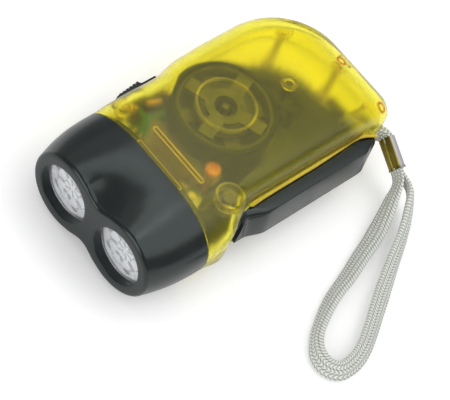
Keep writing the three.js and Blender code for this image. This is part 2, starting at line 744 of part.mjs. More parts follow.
function tray() {
  const front = cellFromFace - cellRadius;
  const high = trayLow + trayThickness;
  let plate = solid(box(cellStartX, cellsEnd, front, trayBack, trayLow, high));
  plate = plate.add(solid(box(cellsEnd - wall, trayScrewX, cellFromFace, trayScrewFromFace - bossRadius / 2,
    trayLow, high)));
  plate = plate.add(solid(cylinder(bossRadius, trayLow, high, trayScrewX, trayScrewFromFace)));
  const ribFrom = front + trayFrontLip;
  const rib = box(-trayRibHalf, trayRibEnd, ribFrom, ribFrom + trayThickness, trayLow, trayRibTop);
  plate = plate.add(solid(rib));
  const bore = cylinder(screwShankRadius + gap, 0, bodyHeight, trayScrewX, trayScrewFromFace, screwSides);
  return tidy(plate.subtract(solid(bore)));
}

function trayScrew() {
  const high = trayLow + trayThickness + gap + screwHeadHeight;
  const at = [trayScrewX, trayScrewFromFace];
  const head = solid(cylinder(screwHeadRadius, high - screwHeadHeight, high, ...at, smallSides));
  const shank = cylinder(screwShankRadius, trayLow - cellRadius, high - gap, ...at, screwSides);
  return tidy(head.add(solid(shank)));
}

// Deck that fills the lower case from the lamps to its stepped rear edge, open round whatever stands in it
function innerDeck() {
  const low = wall + gap;
  const outline = deckShares.map(([across, along]) =>
    new THREE.Vector2(bodyHalfWidth * across, THREE.MathUtils.lerp(seam, bodyLength, along)));
  const inside = shellSolid(seam, wall + gap);
  let deck = solid(prism(outline, low, low + deckThickness)).intersect(inside);
  const pinionTip = rotorPinionPitch + wheelModule * tipShare;
  const standing = [
    [pivotX, pivotFromFace, hubRadius], [gearX, gearFromFace, bossRadius],
    [flywheelX, flywheelFromFace, pinionTip], [trayScrewX, trayScrewFromFace, bossRadius],
    [strapPostX, strapPostFromFace, strapPostRadius + socketWall],
    ...caseScrews.map(({ x, y, boss }) => [x, y, boss]),
  ];
  for (const [x, y, radius] of standing) {
    deck = deck.subtract(solid(cylinder(radius + looseGap, 0, bodyHeight, x, y)));
  }
  const cellReach = cellRadius + gap;
  return tidy(deck.subtract(solid(box(cellStartX - gap, cellsEnd, cellFromFace - cellReach,
    cellFromFace + cellReach, 0, bodyHeight))));
}

// Switch: slider outside the wall, stem through it, body inside
const switchMiddle = (switchFrom + switchTo) / 2;
const switchFace = -Math.max(planAt(switchFrom).switchSide, planAt(switchTo).switchSide);

function switchSlider() {
  const high = midHeight + switchHeight / 2;
  const low = midHeight - switchHeight / 2;
  const face = switchFace - gap;
  const half = (switchTo - switchFrom) / 2;
  let slider = solid(box(face - switchPlate, face, switchFrom, switchTo, low, high));
  const ribLength = half / switchRibCount;
  for (let i = 0; i < switchRibCount; i += 1) {
    const from = switchFrom + ribLength * (switchRibStep * i + 1);
    const out = face - switchPlate - (switchRib * (i + 1)) / switchRibCount;
    slider = slider.add(solid(box(out, face - gap, from, from + ribLength, low + gap, high - gap)));
  }
  const stem = box(face - gap, -switchBodyInner - gap, switchMiddle - switchStem, switchMiddle,
    midHeight - switchStem / 2, midHeight + switchStem / 2);
  return tidy(slider.add(solid(stem)));
}

const switchBodyInner = planAt(neckEnd).switchSide - wall - looseGap;

function switchBody() {
  const outer = -switchBodyInner;
  const half = switchBodyLength / 2;
  return box(outer, outer + switchBodyDepth, switchMiddle - half, switchMiddle + half,
    midHeight - switchHeight / 2, midHeight + switchHeight / 2);
}

function switchHole() {
  return box(switchFace - 2 * wall, -switchBodyInner + gap, switchMiddle - switchStem - switchTravel - gap,
    switchMiddle + gap, midHeight - switchStem / 2 - gap, midHeight + switchStem / 2 + gap);
}

function chargeBoard() {
  const from = cellFromFace - cellRadius;
  const x = -switchBodyInner + switchBodyDepth + gap;
  return box(x, x + boardThickness, from, from + chargeBoardLength,
    chargeBoardLow, chargeBoardLow + chargeBoardHeight);
}

const springLow = leverHigh - springSeat + gap + springWire / 2;

// Helix round the pin with a straight leg at each end, one unbroken tube
function returnSpring() {
  const onCoil = (i) => {
    const angle = Math.PI + (i / springSteps) * 2 * Math.PI;
    const { x, y } = polar(springRadius, angle);
    return new THREE.Vector3(x, y, springLow + (i / springSteps) * springPitch);
  };
  const coil = Array.from({ length: springCurls * springSteps + 1 }, (_, i) => onCoil(i));
  const leg = new THREE.Vector3(0, springLeg, 0);
  const points = [coil[0].clone().add(leg), ...coil, coil[coil.length - 1].clone().sub(leg)];
  const apart = coil.slice(springSteps).map((point, i) => point.distanceTo(coil[i]));
  console.log('return spring: least gap between curls', (Math.min(...apart) - springWire).toFixed(2), 'mm');
  return tubeThrough(points, springWire / 2, springSides).translate(pivotX, pivotFromFace, 0);
}

// Rings of a few sides square to the path, joined and closed
function tubeThrough(points, radius, sides) {
  const up = new THREE.Vector3(0, 0, 1);
  const rings = points.map((point, i) => {
    const before = points[Math.max(0, i - 1)];
    const after = points[Math.min(points.length - 1, i + 1)];
    const along = after.clone().sub(before).normalize();
    const side = new THREE.Vector3().crossVectors(along, up).normalize();
    const rise = new THREE.Vector3().crossVectors(side, along);
    return Array.from({ length: sides }, (_, k) => {
      const turn = (k / sides) * 2 * Math.PI;
      const { x, y } = polar(radius, turn);
      return point.clone().addScaledVector(side, x).addScaledVector(rise, y);
    });
  });
  return loft(rings);
}

function tubeAlong(points, diameter, sides, steps) {
  const curve = new THREE.CatmullRomCurve3(points, false, 'centripetal');
  const section = new THREE.Shape(circle(diameter / 2, sides));
  return new THREE.ExtrudeGeometry(section, { extrudePath: curve, steps, bevelEnabled: false });
}

const strapAxis = ferruleEnd.clone().sub(strapExit).normalize();
const strapSide = new THREE.Vector3(0, 0, 1).cross(strapAxis).normalize();
const strapRise = new THREE.Vector3().crossVectors(strapAxis, strapSide);
const strandOffset = strapTube / 2 + gap / 2;

function ferrule() {
  const length = ferruleEnd.distanceTo(strapExit);
  const basis = new THREE.Matrix4().makeBasis(strapAxis, strapSide, strapRise);
  basis.setPosition(strapExit.clone().lerp(ferruleEnd, 0.5));
  let body = solid(box(-length / 2, length / 2, -ferruleThickness / 2, ferruleThickness / 2,
    -ferruleWidth / 2, ferruleWidth / 2));
  const ribShares = [-0.25, 0.05, 0.35];
  for (const share of ribShares) {
    const at = ferruleThickness * share;
    body = body.add(solid(box(-length / 2 + gap, length / 2 - gap, at - ferruleRib, at + ferruleRib,
      0, ferruleWidth / 2 + ferruleRib / 2)));
  }
  return tidy(body).applyMatrix4(basis);
}

// The tape's bight from the ferrule round the post and back
function strapBight() {
  const around = strapPostRadius + strapTube / 2 + gap;
  const z = strapExit.z;
  const turnAngles = [60, 90, 120, 150, 180, 210, 240, 270, 300];
  const exitTurn = Math.atan2(postToExit.y, postToExit.x);
  const turn = turnAngles.map((angle) => new THREE.Vector3(
    strapPostX + around * Math.cos(exitTurn + radians(angle)),
    strapPostFromFace + around * Math.sin(exitTurn + radians(angle)), z,
  ));
  const ends = [-1, 1].map((sign) => strapExit.clone().addScaledVector(strapSide, sign * strandOffset)
    .addScaledVector(strapAxis, -looseGap - gap));
  const [first, last] = ends[0].y > ends[1].y ? ends : ends.slice().reverse();
  return tubeAlong([first, ...turn, last], strapTube, strapSides, bightSteps);
}

// Free loop of the strap, hand-placed points from the post round and back, on edge on the floor
const strapRoute = [
  [20.0, 0.5, 8.6], [22.8, -4.0, 6.4], [25.7, -9.5, 4.5], [28.3, -15.3, 3.4],
  [30.7, -22.3, 3.0], [33.4, -29.9, 3.0], [35.8, -37.7, 3.0], [38.9, -44.4, 3.0],
  [42.5, -50.1, 3.0], [46.5, -53.3, 3.0], [50.5, -53.6, 3.0], [53.3, -51.4, 3.0],
  [53.7, -46.8, 3.0], [52.2, -41.4, 3.0], [48.9, -35.2, 3.0], [45.3, -29.4, 3.0],
  [41.0, -22.2, 3.0], [36.7, -14.8, 3.2], [33.0, -8.5, 4.1], [28.4, -2.3, 6.0],
  [23.6, 2.1, 8.0],
];

function wristStrap() {
  const ends = [1, -1].map((sign) => ferruleEnd.clone().addScaledVector(strapSide, sign * strandOffset));
  const middle = strapRoute.map(([x, y, z]) =>
    new THREE.Vector3(strapPostX + x, strapPostFromFace + y, z));
  const [first, last] = ends[0].y < ends[1].y ? ends : ends.slice().reverse();
  const out = (point, along) => point.clone().addScaledVector(strapAxis, along);
  const start = [out(first, gap), out(first, strapTube / 2)];
  const finish = [out(last, strapTube / 2), out(last, gap)];
  return tubeAlong([...start, ...middle, ...finish], strapTube, strapSides, strapSteps);
}

function leverSweep() {
  const low = leverLow - gap;
  const high = leverHigh + gap;
  const nose = solid(cylinder(neckX - pivotX + looseGap, low, high, pivotX, pivotFromFace));
  return nose.add(solid(prism(leverPlan(gap), low, high)))
    .add(solid(box(leverInnerX, leverOuterX + overrun, pivotFromFace, leverEnd + gap, low, high)));
}

function strapWindow() {
  return solid(box(windowInner, bodyHalfWidth, windowFrom, windowTo, windowLow, windowHigh));
}

const halfGap = gap / 2;
const inTop = innerTop + gap;
const inFloor = wall - gap;
const socketTop = innerTop - ribHeight;
const springSocketLow = springLow + springCurls * springPitch + springWire / 2 + gap;
const bossBore = screwShankRadius + gap;

// Half of the hollow shell between two heights, joined to the fittings as far as they lie inside it
function halfShell(low, high, fittings) {
  const outside = shellSolid(seam + halfGap, 0);
  const keep = solid(box(-2 * bodyHalfWidth, 2 * bodyHalfWidth, 0, 2 * bodyLength, low, high));
  const skin = outside.subtract(shellSolid(seam - overrun, wall)).intersect(keep);
  const inside = shellSolid(seam + halfGap, wall / 2);
  return skin.add(wasm.Manifold.union(fittings).intersect(inside));
}

function openSides(shell) {
  return shell.subtract(leverSweep()).subtract(strapWindow()).subtract(solid(switchHole()));
}

function socket(x, y, radius, low) {
  const outer = solid(cylinder(radius + socketWall, low, inTop, x, y, smallSides));
  return outer.subtract(solid(cylinder(radius + gap, 0, socketTop, x, y, smallSides)));
}

function upperShell() {
  const at = [flywheelX, flywheelFromFace];
  const fittings = caseScrews.map(({ x, y, boss }) => {
    const outer = solid(cylinder(boss, midHeight + halfGap, inTop, x, y, smallSides));
    return outer.subtract(solid(cylinder(bossBore, 0, screwTop + looseGap, x, y, screwSides)));
  });
  fittings.push(solid(ring(ribRadius + ribWall, ribRadius, socketTop, inTop, ...at, ribSides)));
  const post = solid(cylinder(statorPost, coilLow - statorPlate - gap, inTop, ...at));
  fittings.push(post.subtract(solid(cylinder(axleRadius + gap, 0, socketTop, ...at, smallSides))));
  const stopX = pivotX - springRadius + springWire / 2 + gap;
  const stopFrom = pivotFromFace - springLeg;
  fittings.push(solid(box(stopX, stopX + springStop, stopFrom, stopFrom + springLeg / 2,
    leverHigh + looseGap, inTop)));
  fittings.push(socket(gearX, gearFromFace, axleRadius, flywheelLow + gap));
  fittings.push(socket(pivotX, pivotFromFace, pinRadius, springSocketLow));
  return tidy(openSides(halfShell(midHeight + halfGap, bodyHeight + overrun, fittings)));
}

function lowerShell() {
  const boss = (radius, high, x, y, sides) => solid(cylinder(radius, inFloor, high, x, y, sides));
  const fittings = caseScrews.map((at) => boss(at.boss, midHeight - halfGap, at.x, at.y, smallSides));
  fittings.push(boss(bossRadius, trayLow - gap, trayScrewX, trayScrewFromFace, smallSides));
  fittings.push(boss(hubRadius - looseGap, leverLow - gap, pivotX, pivotFromFace));
  fittings.push(boss(strapPostRadius + socketWall, windowLow - looseGap - gap,
    strapPostX, strapPostFromFace, smallSides));
  let shell = halfShell(-overrun, midHeight - halfGap, fittings);
  for (const { x, y, low } of caseScrews) {
    const headTop = low + screwHeadHeight + gap;
    shell = shell.subtract(solid(cylinder(bossBore, -overrun, midHeight, x, y, screwSides)));
    shell = shell.subtract(solid(cylinder(screwHeadRadius + gap, -overrun, headTop, x, y, smallSides)));
  }
  shell = shell.subtract(solid(cylinder(bossBore, trayLow - cellRadius - gap, bodyHeight,
    trayScrewX, trayScrewFromFace, screwSides)));
  const sockets = [
    [pivotX, pivotFromFace, pinRadius, wall / 2], [gearX, gearFromFace, axleRadius, wall / 2],
    [flywheelX, flywheelFromFace, axleRadius, wall / 2],
    [strapPostX, strapPostFromFace, strapPostRadius, strapPostLow],
  ];
  for (const [x, y, radius, low] of sockets) {
    shell = shell.subtract(solid(cylinder(radius + gap, low, bodyHeight, x, y, smallSides)));
  }
  return tidy(openSides(shell));
}

const pinLow = wall / 2 + gap;
const pinHigh = socketTop - gap;

const yellow = { color: '#e8d312', roughness: 0.25, metalness: 0 };
const black = { color: '#262a2a', roughness: 0.45, metalness: 0 };
const steel = { color: '#b9bcc0', roughness: 0.3, metalness: 1 };
const brass = { color: '#9c8a4a', roughness: 0.35, metalness: 1 };
const nylon = { color: '#e6e1cf', roughness: 0.5, metalness: 0 };
const green = { color: '#1f7a3e', roughness: 0.5, metalness: 0 };
const copper = { color: '#b5652b', roughness: 0.4, metalness: 1 };
const clear = { color: '#e9f1f4', roughness: 0.05, metalness: 0 };
const mirror = { color: '#d8dde0', roughness: 0.08, metalness: 1 };
const tape = { color: '#c6cac4', roughness: 0.9, metalness: 0 };
const magnet = { color: '#4a4a4d', roughness: 0.6, metalness: 0.3 };

const torch = new THREE.Group();
torch.position.y = -bodyLength / 2;

function place(name, geometry, look) {
  const mesh = new THREE.Mesh(geometry, new THREE.MeshStandardMaterial(look));
  mesh.name = name;
  torch.add(mesh);
}

place('upper_shell', upperShell(), yellow);
place('lower_shell', lowerShell(), yellow);
place('head_bezel', headBezel(), black);
for (const [name, side] of [['left', -1], ['right', 1]]) {
  place(`lens_${name}`, lens(side), clear);
  place(`reflector_${name}`, reflector(side), mirror);
  place(`led_${name}`, led(side), clear);
}
place('led_board', ledBoard(), green);
for (let i = 0; i < cellCount; i += 1) place(`battery_cell_${i + 1}`, cell(i), steel);
place('battery_tray', tray(), yellow);
place('tray_screw', trayScrew(), steel);
place('charge_board', chargeBoard(), green);
place('inner_deck', innerDeck(), black);
place('switch_slider', switchSlider(), black);
place('switch_body', switchBody(), black);
place('squeeze_lever', squeezeLever(), black);
place('lock_slider', lockSlider(), black);
place('lever_spring', returnSpring(), steel);
place('lever_pin', axle(pinRadius, pinLow, pinHigh, pivotX, pivotFromFace), steel);
place('drive_gear', driveGear(), nylon);
place('gear_axle', axle(axleRadius, pinLow, pinHigh, gearX, gearFromFace), steel);
place('flywheel', flywheel(), black);
place('magnet_ring', magnetRing(), magnet);
place('rotor_pinion', rotorPinion(), nylon);
place('flywheel_axle', axle(axleRadius, pinLow, pinHigh, flywheelX, flywheelFromFace), steel);
place('stator_top_plate', crossPlate(coilHigh + gap, radians(topCrossTurn)), steel);
place('stator_bottom_plate', crossPlate(coilLow - gap - statorPlate, radians(lowCrossTurn)), steel);
place('coil_bobbin', bobbin(), nylon);
place('coil_winding', winding(), copper);
caseScrews.forEach((at, i) => place(`case_screw_${i + 1}`, caseScrew(at), steel));
const postLow = strapPostLow + gap;
place('strap_post', axle(strapPostRadius, postLow, strapPostHigh, strapPostX, strapPostFromFace), steel);
place('strap_bight', strapBight(), tape);
place('strap_ferrule', ferrule(), brass);
place('wrist_strap', wristStrap(), tape);

const centres = [gearX, gearFromFace, flywheelX, flywheelFromFace].map((value) => value.toFixed(3));
console.log('gear and flywheel centres', ...centres);

export default torch;
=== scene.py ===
import json
import math

import bmesh
import bpy
import numpy as np
from mathutils import Matrix, Vector


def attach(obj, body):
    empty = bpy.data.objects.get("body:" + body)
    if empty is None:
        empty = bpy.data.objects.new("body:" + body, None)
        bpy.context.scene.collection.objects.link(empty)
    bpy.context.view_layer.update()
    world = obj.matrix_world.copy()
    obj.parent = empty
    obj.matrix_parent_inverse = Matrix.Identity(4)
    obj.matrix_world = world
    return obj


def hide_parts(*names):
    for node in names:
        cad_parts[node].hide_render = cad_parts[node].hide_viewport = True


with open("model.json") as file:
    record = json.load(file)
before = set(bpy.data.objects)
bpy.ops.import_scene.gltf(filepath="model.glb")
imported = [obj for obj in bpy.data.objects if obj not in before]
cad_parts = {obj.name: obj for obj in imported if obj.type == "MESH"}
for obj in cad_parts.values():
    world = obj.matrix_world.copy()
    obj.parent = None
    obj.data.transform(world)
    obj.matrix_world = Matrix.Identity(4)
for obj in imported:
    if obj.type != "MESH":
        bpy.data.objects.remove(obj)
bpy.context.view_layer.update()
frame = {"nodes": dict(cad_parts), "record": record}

# Lengths below are in millimetres: x across the body (lever side is +x), s from the lamp rims back to the
# tail, z up from the table. toMetres turns them into the frame's own metres.
metre = 0.001
halfLength = 47.75  # the frame's zero sits half way down the torch
midHeight = 13.5


def toMetres(points):
    return (np.asarray(points, float) - (0.0, halfLength, 0.0)) * metre


def addObject(name, data):
    obj = bpy.data.objects.new(name, data)
    bpy.context.scene.collection.objects.link(obj)
    return obj


# Camera
camera = {
    "azimuth": 25.1, "elevation": 53.1, "roll": 28.6,  # degrees
    "side": -35.1, "rise": -6.6, "distance": 564.0,  # of the lamp rims' middle, seen from the eye
    "focal": 2188.0, "picture": 450.0,  # pixels
    "film": 36.0, "clip": (0.02, 20.0),
}


def placeCamera(opts):
    # right, up and back of the camera from its azimuth and elevation, then turned about the view by roll
    a, e, roll = (math.radians(opts[key]) for key in ("azimuth", "elevation", "roll"))
    flat = Vector((math.cos(a), math.sin(a), 0))
    rise = Vector((-math.sin(a) * math.sin(e), math.cos(a) * math.sin(e), math.cos(e)))
    back = Vector((math.sin(a) * math.cos(e), -math.cos(a) * math.cos(e), math.sin(e)))
    right = math.cos(roll) * flat + math.sin(roll) * rise
    up = -math.sin(roll) * flat + math.cos(roll) * rise
    eye = -opts["side"] * right - opts["rise"] * up + opts["distance"] * back
    eye = (eye + Vector((0, -halfLength, midHeight))) * metre
    data = bpy.data.cameras.new("photoCamera")
    data.sensor_fit, data.sensor_width = "HORIZONTAL", opts["film"]
    data.lens = opts["focal"] * opts["film"] / opts["picture"]
    data.clip_start, data.clip_end = opts["clip"]
    obj = addObject("photoCamera", data)
    turn = Matrix((right, up, back)).transposed()
    obj.matrix_world = Matrix.Translation(eye) @ turn.to_4x4()
    bpy.context.scene.camera = obj


placeCamera(camera)
bpy.context.scene.view_settings.view_transform = "Standard"
print("camera placed")


# Shape tools
def mix(low, high, share):
    return low + (high - low) * share


def ramp(low, high, x):
    return np.clip((np.asarray(x, float) - low) / (high - low), 0, 1)


def smoothstep(low, high, x):
    u = ramp(low, high, x)
    return u * u * (3 - 2 * u)


def unit(v):
    v = np.asarray(v, float)
    return v / np.linalg.norm(v, axis=-1, keepdims=True)


def fullTurn(count):
    return np.arange(count) / count * 2 * np.pi


def quarterTurn(count):
    return np.linspace(0, np.pi / 2, count)


def onCircle(turn):
    return np.stack([np.cos(turn), np.sin(turn)], -1)


def roundEdge(radius, count):
    # (inset, depth) of points round a quarter circle, from the flat face to the flank
    return [(radius * (1 - math.sin(a)), radius * (1 - math.cos(a))) for a in quarterTurn(count)]


def signedPower(t, power):
    return np.sign(t) * np.abs(t) ** power


def cubic(u, step, low, high, lowSlope, highSlope):
    # cubic between two values with a slope at each; u runs from 0 to 1 over the step
    return ((2 * u**3 - 3 * u**2 + 1) * low + (u**3 - 2 * u**2 + u) * step * lowSlope
            + (3 * u**2 - 2 * u**3) * high + (u**3 - u**2) * step * highSlope)


def runAlong(line, power=1.0):
    # distance of each point along the line, each step raised to a power
    return np.concatenate([[0], np.cumsum(np.linalg.norm(np.diff(line, axis=0), axis=1) ** power)])


def pointsAt(line, run, at):
    return np.stack([np.interp(at, run, column) for column in line.T], -1)


def smoothLine(points, count, fineness=8):
    # curve through the points in even steps: cubic pieces whose slopes come from the neighbours
    p = np.asarray(points, float)
    at = runAlong(p, 0.5)
    slope = np.gradient(p, at, axis=0)
    fine = np.linspace(0, at[-1], count * fineness)
    k = np.clip(np.searchsorted(at, fine, side="right") - 1, 0, len(p) - 2)
    step = (at[k + 1] - at[k])[:, None]
    curve = cubic((fine - at[k])[:, None] / step, step, p[k], p[k + 1], slope[k], slope[k + 1])
    run = runAlong(curve)
    return pointsAt(curve, run, np.linspace(0, run[-1], count)), run[-1]


def drawnIn(s, end, radius):
    # how far a rounded end of this radius has drawn in at s
    past = np.clip(s - (end - radius), 0, radius)
    return radius - np.sqrt(np.maximum(0, radius**2 - past**2))


# Mesh tools
def gridFaces(rows, cols, wrapRows=False, wrapCols=False):
    # quads between neighbouring points of a rows x cols grid; wrap joins the last line to the first
    r, c = np.meshgrid(np.arange(rows if wrapRows else rows - 1),
                       np.arange(cols if wrapCols else cols - 1), indexing="ij")
    r2, c2 = (r + 1) % rows, (c + 1) % cols
    return np.stack([r * cols + c, r * cols + c2, r2 * cols + c2, r2 * cols + c], -1).reshape(-1, 4)


def wrapped(points, wrapRows=False):
    # grid of points whose rows are closed rings, with its quads
    points = np.asarray(points, float)
    return points, gridFaces(*points.shape[:2], wrapRows, True)


def closedBand(rings):
    # skin through closed rings of equal count; each end is drawn in to its own middle
    rings = np.asarray(rings, float)
    ends = [np.repeat(rings[i].mean(0)[None], rings.shape[1], 0) for i in (0, -1)]
    return wrapped(np.concatenate([ends[:1], rings, ends[1:]]))


def twoSkins(skins):
    # outer and inner grid of the same size, joined along their four edges
    rows, cols = skins[0].shape[:2]
    outer = np.arange(rows * cols).reshape(rows, cols)
    grid = gridFaces(rows, cols)
    faces = [grid, grid + outer.size]
    for pick in ((0, slice(None)), (-1, slice(None)), (slice(None), 0), (slice(None), -1)):
        edge, below = outer[pick], outer[pick] + outer.size
        faces.append(np.stack([edge[:-1], edge[1:], below[1:], below[:-1]], -1))
    return np.stack(skins).reshape(-1, 3), np.concatenate(faces)


def tubeAlong(line, radius, sides=12):
    # round section carried along a line; both ends are closed
    line = np.asarray(line, float)
    along = unit(np.gradient(line, axis=0))
    side = unit(np.cross((0.13, 0.21, 0.97), along))  # a direction that no tube here follows
    rise = np.cross(along, side)
    turn = fullTurn(sides)[None, :, None]
    size = np.broadcast_to(radius, len(line))[:, None, None]
    return closedBand(line[:, None] + size * (side[:, None] * np.cos(turn) + rise[:, None] * np.sin(turn)))


def tubeRound(line, out, up, radius, sides):
    # round section carried along a closed line; out and up are its two directions
    turn = fullTurn(sides)[None, :, None]
    return wrapped(line[:, None] + radius * (out[:, None] * np.cos(turn) + up * np.sin(turn)), True)


def turned(profile, count, ripple=None):
    # profile of (radius, height) turned about an axis: two places across it and the height of each point;
    # ripple(radius, turn) moves points along the axis
    profile = np.asarray(profile, float)
    turn = fullTurn(count)
    r, height = np.repeat(profile[:, :1], count, 1), np.repeat(profile[:, 1:], count, 1)
    if ripple:
        height = height + ripple(r, turn[None])
    return r * np.cos(turn), r * np.sin(turn), height


def turnedUpright(profile, at, count, ripple=None):
    across, along, height = turned(profile, count, ripple)
    return np.stack([at[0] + across, at[1] + along, height], -1)


def fillMaterial(obj, material):
    obj.data.materials.clear()
    obj.data.materials.append(material)


shortestEdge = 1e-7  # metres; shorter ones are taken out of a mesh


def makePiece(name, parts, material, slot, body="housing", replaces=(), angle=40, uv=None, merge=0.004,
              fillHoles=False):
    # joins grids (points, quads) into one mesh, merges points that meet, closes open flat faces where
    # asked, turns the faces outwards
    starts = np.cumsum([0] + [p.size // 3 for p, _ in parts])
    points = toMetres(np.concatenate([p.reshape(-1, 3) for p, _ in parts]))
    quads = np.concatenate([faces + start for (_, faces), start in zip(parts, starts)])
    mesh = bpy.data.meshes.new(name)
    mesh.from_pydata(points, [], quads)
    if uv is not None:
        mesh.uv_layers.new(name="UVMap").data.foreach_set("uv", uv[quads.ravel()].ravel())
    mesh.validate()
    bm = bmesh.new()
    bm.from_mesh(mesh)
    bmesh.ops.remove_doubles(bm, verts=bm.verts, dist=merge * metre)
    bmesh.ops.dissolve_degenerate(bm, edges=bm.edges, dist=shortestEdge)
    if fillHoles:
        bmesh.ops.holes_fill(bm, edges=[edge for edge in bm.edges if edge.is_boundary], sides=0)
    bmesh.ops.recalc_face_normals(bm, faces=bm.faces)
    bm.to_mesh(mesh)
    bm.free()
    mesh.shade_smooth()
    mesh.set_sharp_from_angle(angle=math.radians(angle))
    obj = addObject(name, mesh)
    fillMaterial(obj, material)
    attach(obj, body)
    if replaces:
        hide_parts(*replaces)
    return obj


def makeSlab(name, outline, opts, material, **links):
    # plan outline raised between two heights with a small rounded edge; each flat face is one polygon
    p = np.asarray(outline, float)
    ahead, behind = unit(np.roll(p, -1, 0) - p), unit(p - np.roll(p, 1, 0))
    normal = unit(np.stack([(ahead + behind)[:, 1], -(ahead + behind)[:, 0]], -1))
    area = (p[:, 0] * np.roll(p[:, 1], -1) - np.roll(p[:, 0], -1) * p[:, 1]).sum()
    normal = normal if area > 0 else -normal
    edge = roundEdge(opts["edge"], 4)
    rows = [(inset, opts["low"] + depth) for inset, depth in edge]
    rows += [(inset, opts["high"] - depth) for inset, depth in edge[::-1]]
    rings = [np.concatenate([p - normal * inset, np.full((len(p), 1), z)], 1) for inset, z in rows]
    makePiece(name, [wrapped(rings)], material, "black_plastic", angle=30, merge=0.0, fillHoles=True,
              **links)


# Material tools
def newMaterial(name, **sockets):
    material = bpy.data.materials.new(name)
    material.use_nodes = True
    shader = material.node_tree.nodes["Principled BSDF"]
    for socket, value in sockets.items():
        shader.inputs[socket.replace("_", " ")].default_value = value
    return material, material.node_tree, shader


def addNode(tree, kind, inputs=None, **values):
    node = tree.nodes.new("ShaderNode" + kind)
    for key, value in values.items():
        setattr(node, key, value)
    for key, value in (inputs or {}).items():
        if isinstance(value, bpy.types.NodeSocket):
            tree.links.new(value, node.inputs[key])
        else:
            node.inputs[key].default_value = value
    return node


def addMath(tree, operation, *values):
    return addNode(tree, "Math", dict(enumerate(values)), operation=operation).outputs[0]


def addRange(tree, value, fromMin=0.0, fromMax=1.0, toMin=0.0, toMax=1.0):
    return addNode(tree, "MapRange", {"Value": value, "From Min": fromMin, "From Max": fromMax,
                                      "To Min": toMin, "To Max": toMax}).outputs["Result"]


def addBump(tree, shader, height, strength, distance):
    bump = addNode(tree, "Bump", {"Height": height, "Strength": strength, "Distance": distance})
    tree.links.new(bump.outputs["Normal"], shader.inputs["Normal"])


def addNoise(tree, scale, detail=2.0, vector=None):
    where = vector or addNode(tree, "TexCoord").outputs["Object"]
    return addNode(tree, "TexNoise", {"Vector": where, "Scale": scale, "Detail": detail}).outputs["Fac"]


def blendColour(tree, factor, low, high, positions=(0.35, 0.65)):
    colours = addNode(tree, "ValToRGB", {"Fac": factor})
    for element, position, colour in zip(colours.color_ramp.elements, positions, (low, high)):
        element.position, element.color = position, (*colour, 1)
    return colours.outputs["Color"]


noiseRange = (0.3, 0.7)  # nearly all of a noise's values lie between these
grainDepth = 0.0001


def noisyRoughness(tree, shader, scale, low, high):
    noise = addNoise(tree, scale, detail=3.0)
    tree.links.new(addRange(tree, noise, *noiseRange, low, high), shader.inputs["Roughness"])
    return noise


def seeThroughShadow(tree, shader, tint):
    # lamps shine through: rays from lamps meet a tinted Transparent shader instead of the surface
    path = addNode(tree, "LightPath")
    clear = addNode(tree, "BsdfTransparent", {"Color": (*tint, 1)})
    both = addNode(tree, "MixShader", {0: path.outputs["Is Shadow Ray"], 1: shader.outputs["BSDF"],
                                       2: clear.outputs["BSDF"]})
    tree.links.new(both.outputs["Shader"], tree.nodes["Material Output"].inputs["Surface"])


def grainyMaterial(name, low, high, rough, scale, bump, spread, **sockets):
    # one noise varies the colour between two tones, the roughness, and a faint grain
    material, tree, shader = newMaterial(name, **sockets)
    noise = noisyRoughness(tree, shader, scale, rough - spread[0], rough + spread[1])
    tree.links.new(blendColour(tree, noise, low, high), shader.inputs["Base Color"])
    addBump(tree, shader, noise, bump, grainDepth)
    return material


def metalMaterial(name, low, high, rough, scale=400.0, bump=0.08, metal=1.0):
    return grainyMaterial(name, low, high, rough, scale, bump, (0.06, 0.08), Metallic=metal)


def mouldedMaterial(name, low, high, rough, scale=300.0, **sockets):
    return grainyMaterial(name, low, high, rough, scale, 0.08, (0.05, 0.06), **sockets)


def clearMaterial(name, tint, rough, clear=1.0, shadow=None, haze=(200.0, 0.03),
                  ripple=(260.0, 0.05, 0.0003), index=1.49, shine=0.5):
    # tinted see-through plastic: haze is its noise's scale and spread, ripple the slow wave of a moulded wall
    material, tree, shader = newMaterial(name, Base_Color=(*tint, 1), IOR=index,
                                         Transmission_Weight=clear, Specular_IOR_Level=shine)
    noisyRoughness(tree, shader, haze[0], rough, rough + haze[1])
    scale, strength, distance = ripple
    addBump(tree, shader, addNoise(tree, scale, detail=1.0), strength, distance)
    seeThroughShadow(tree, shader, shadow or tint)
    return material


black = {
    "tones": ((0.002, 0.0035, 0.0035), (0.004, 0.0058, 0.0058)), "sheen": (0.88, 1.0, 0.98),
    "index": 1.5, "shine": 0.6, "rough": (0.2, 0.27), "scale": 220.0,
    "grain": 3500.0, "grainBump": (0.12, 0.00004),
}
braid = {
    # painted shade: the darker tone lies in the weave's hollows, the lighter on its crests
    "tones": ((0.40, 0.42, 0.38), (0.82, 0.84, 0.79)), "tonesAt": (0.0, 0.8),
    "rough": 0.85, "fibres": 0.25, "lean": 1.2, "turns": 6.5,
    "groove": (0.0, 0.55, 0.5, 1.0),  # the rib's height from and to, and the painted shade's level from and to
    "fuzz": 9000.0, "weave": 0.8, "bump": (0.6, 0.00025),
}
crimp = {
    "tones": ((0.17, 0.14, 0.025), (0.44, 0.35, 0.06)), "worn": (0.52, 0.51, 0.53), "wornFrom": (0.88, 0.97),
    "metal": 0.8, "rough": 0.36, "stretch": (60.0, 1.5, 1.0), "bump": (0.15, 0.0001),
}


def blackPlastic(opts):
    # satin black with a fine spark-eroded grain
    material, tree, shader = newMaterial("blackPlastic", IOR=opts["index"], Specular_IOR_Level=opts["shine"],
                                         Specular_Tint=(*opts["sheen"], 1))
    noise = noisyRoughness(tree, shader, opts["scale"], *opts["rough"])
    tree.links.new(blendColour(tree, noise, *opts["tones"]), shader.inputs["Base Color"])
    addBump(tree, shader, addNoise(tree, opts["grain"]), *opts["grainBump"])
    return material


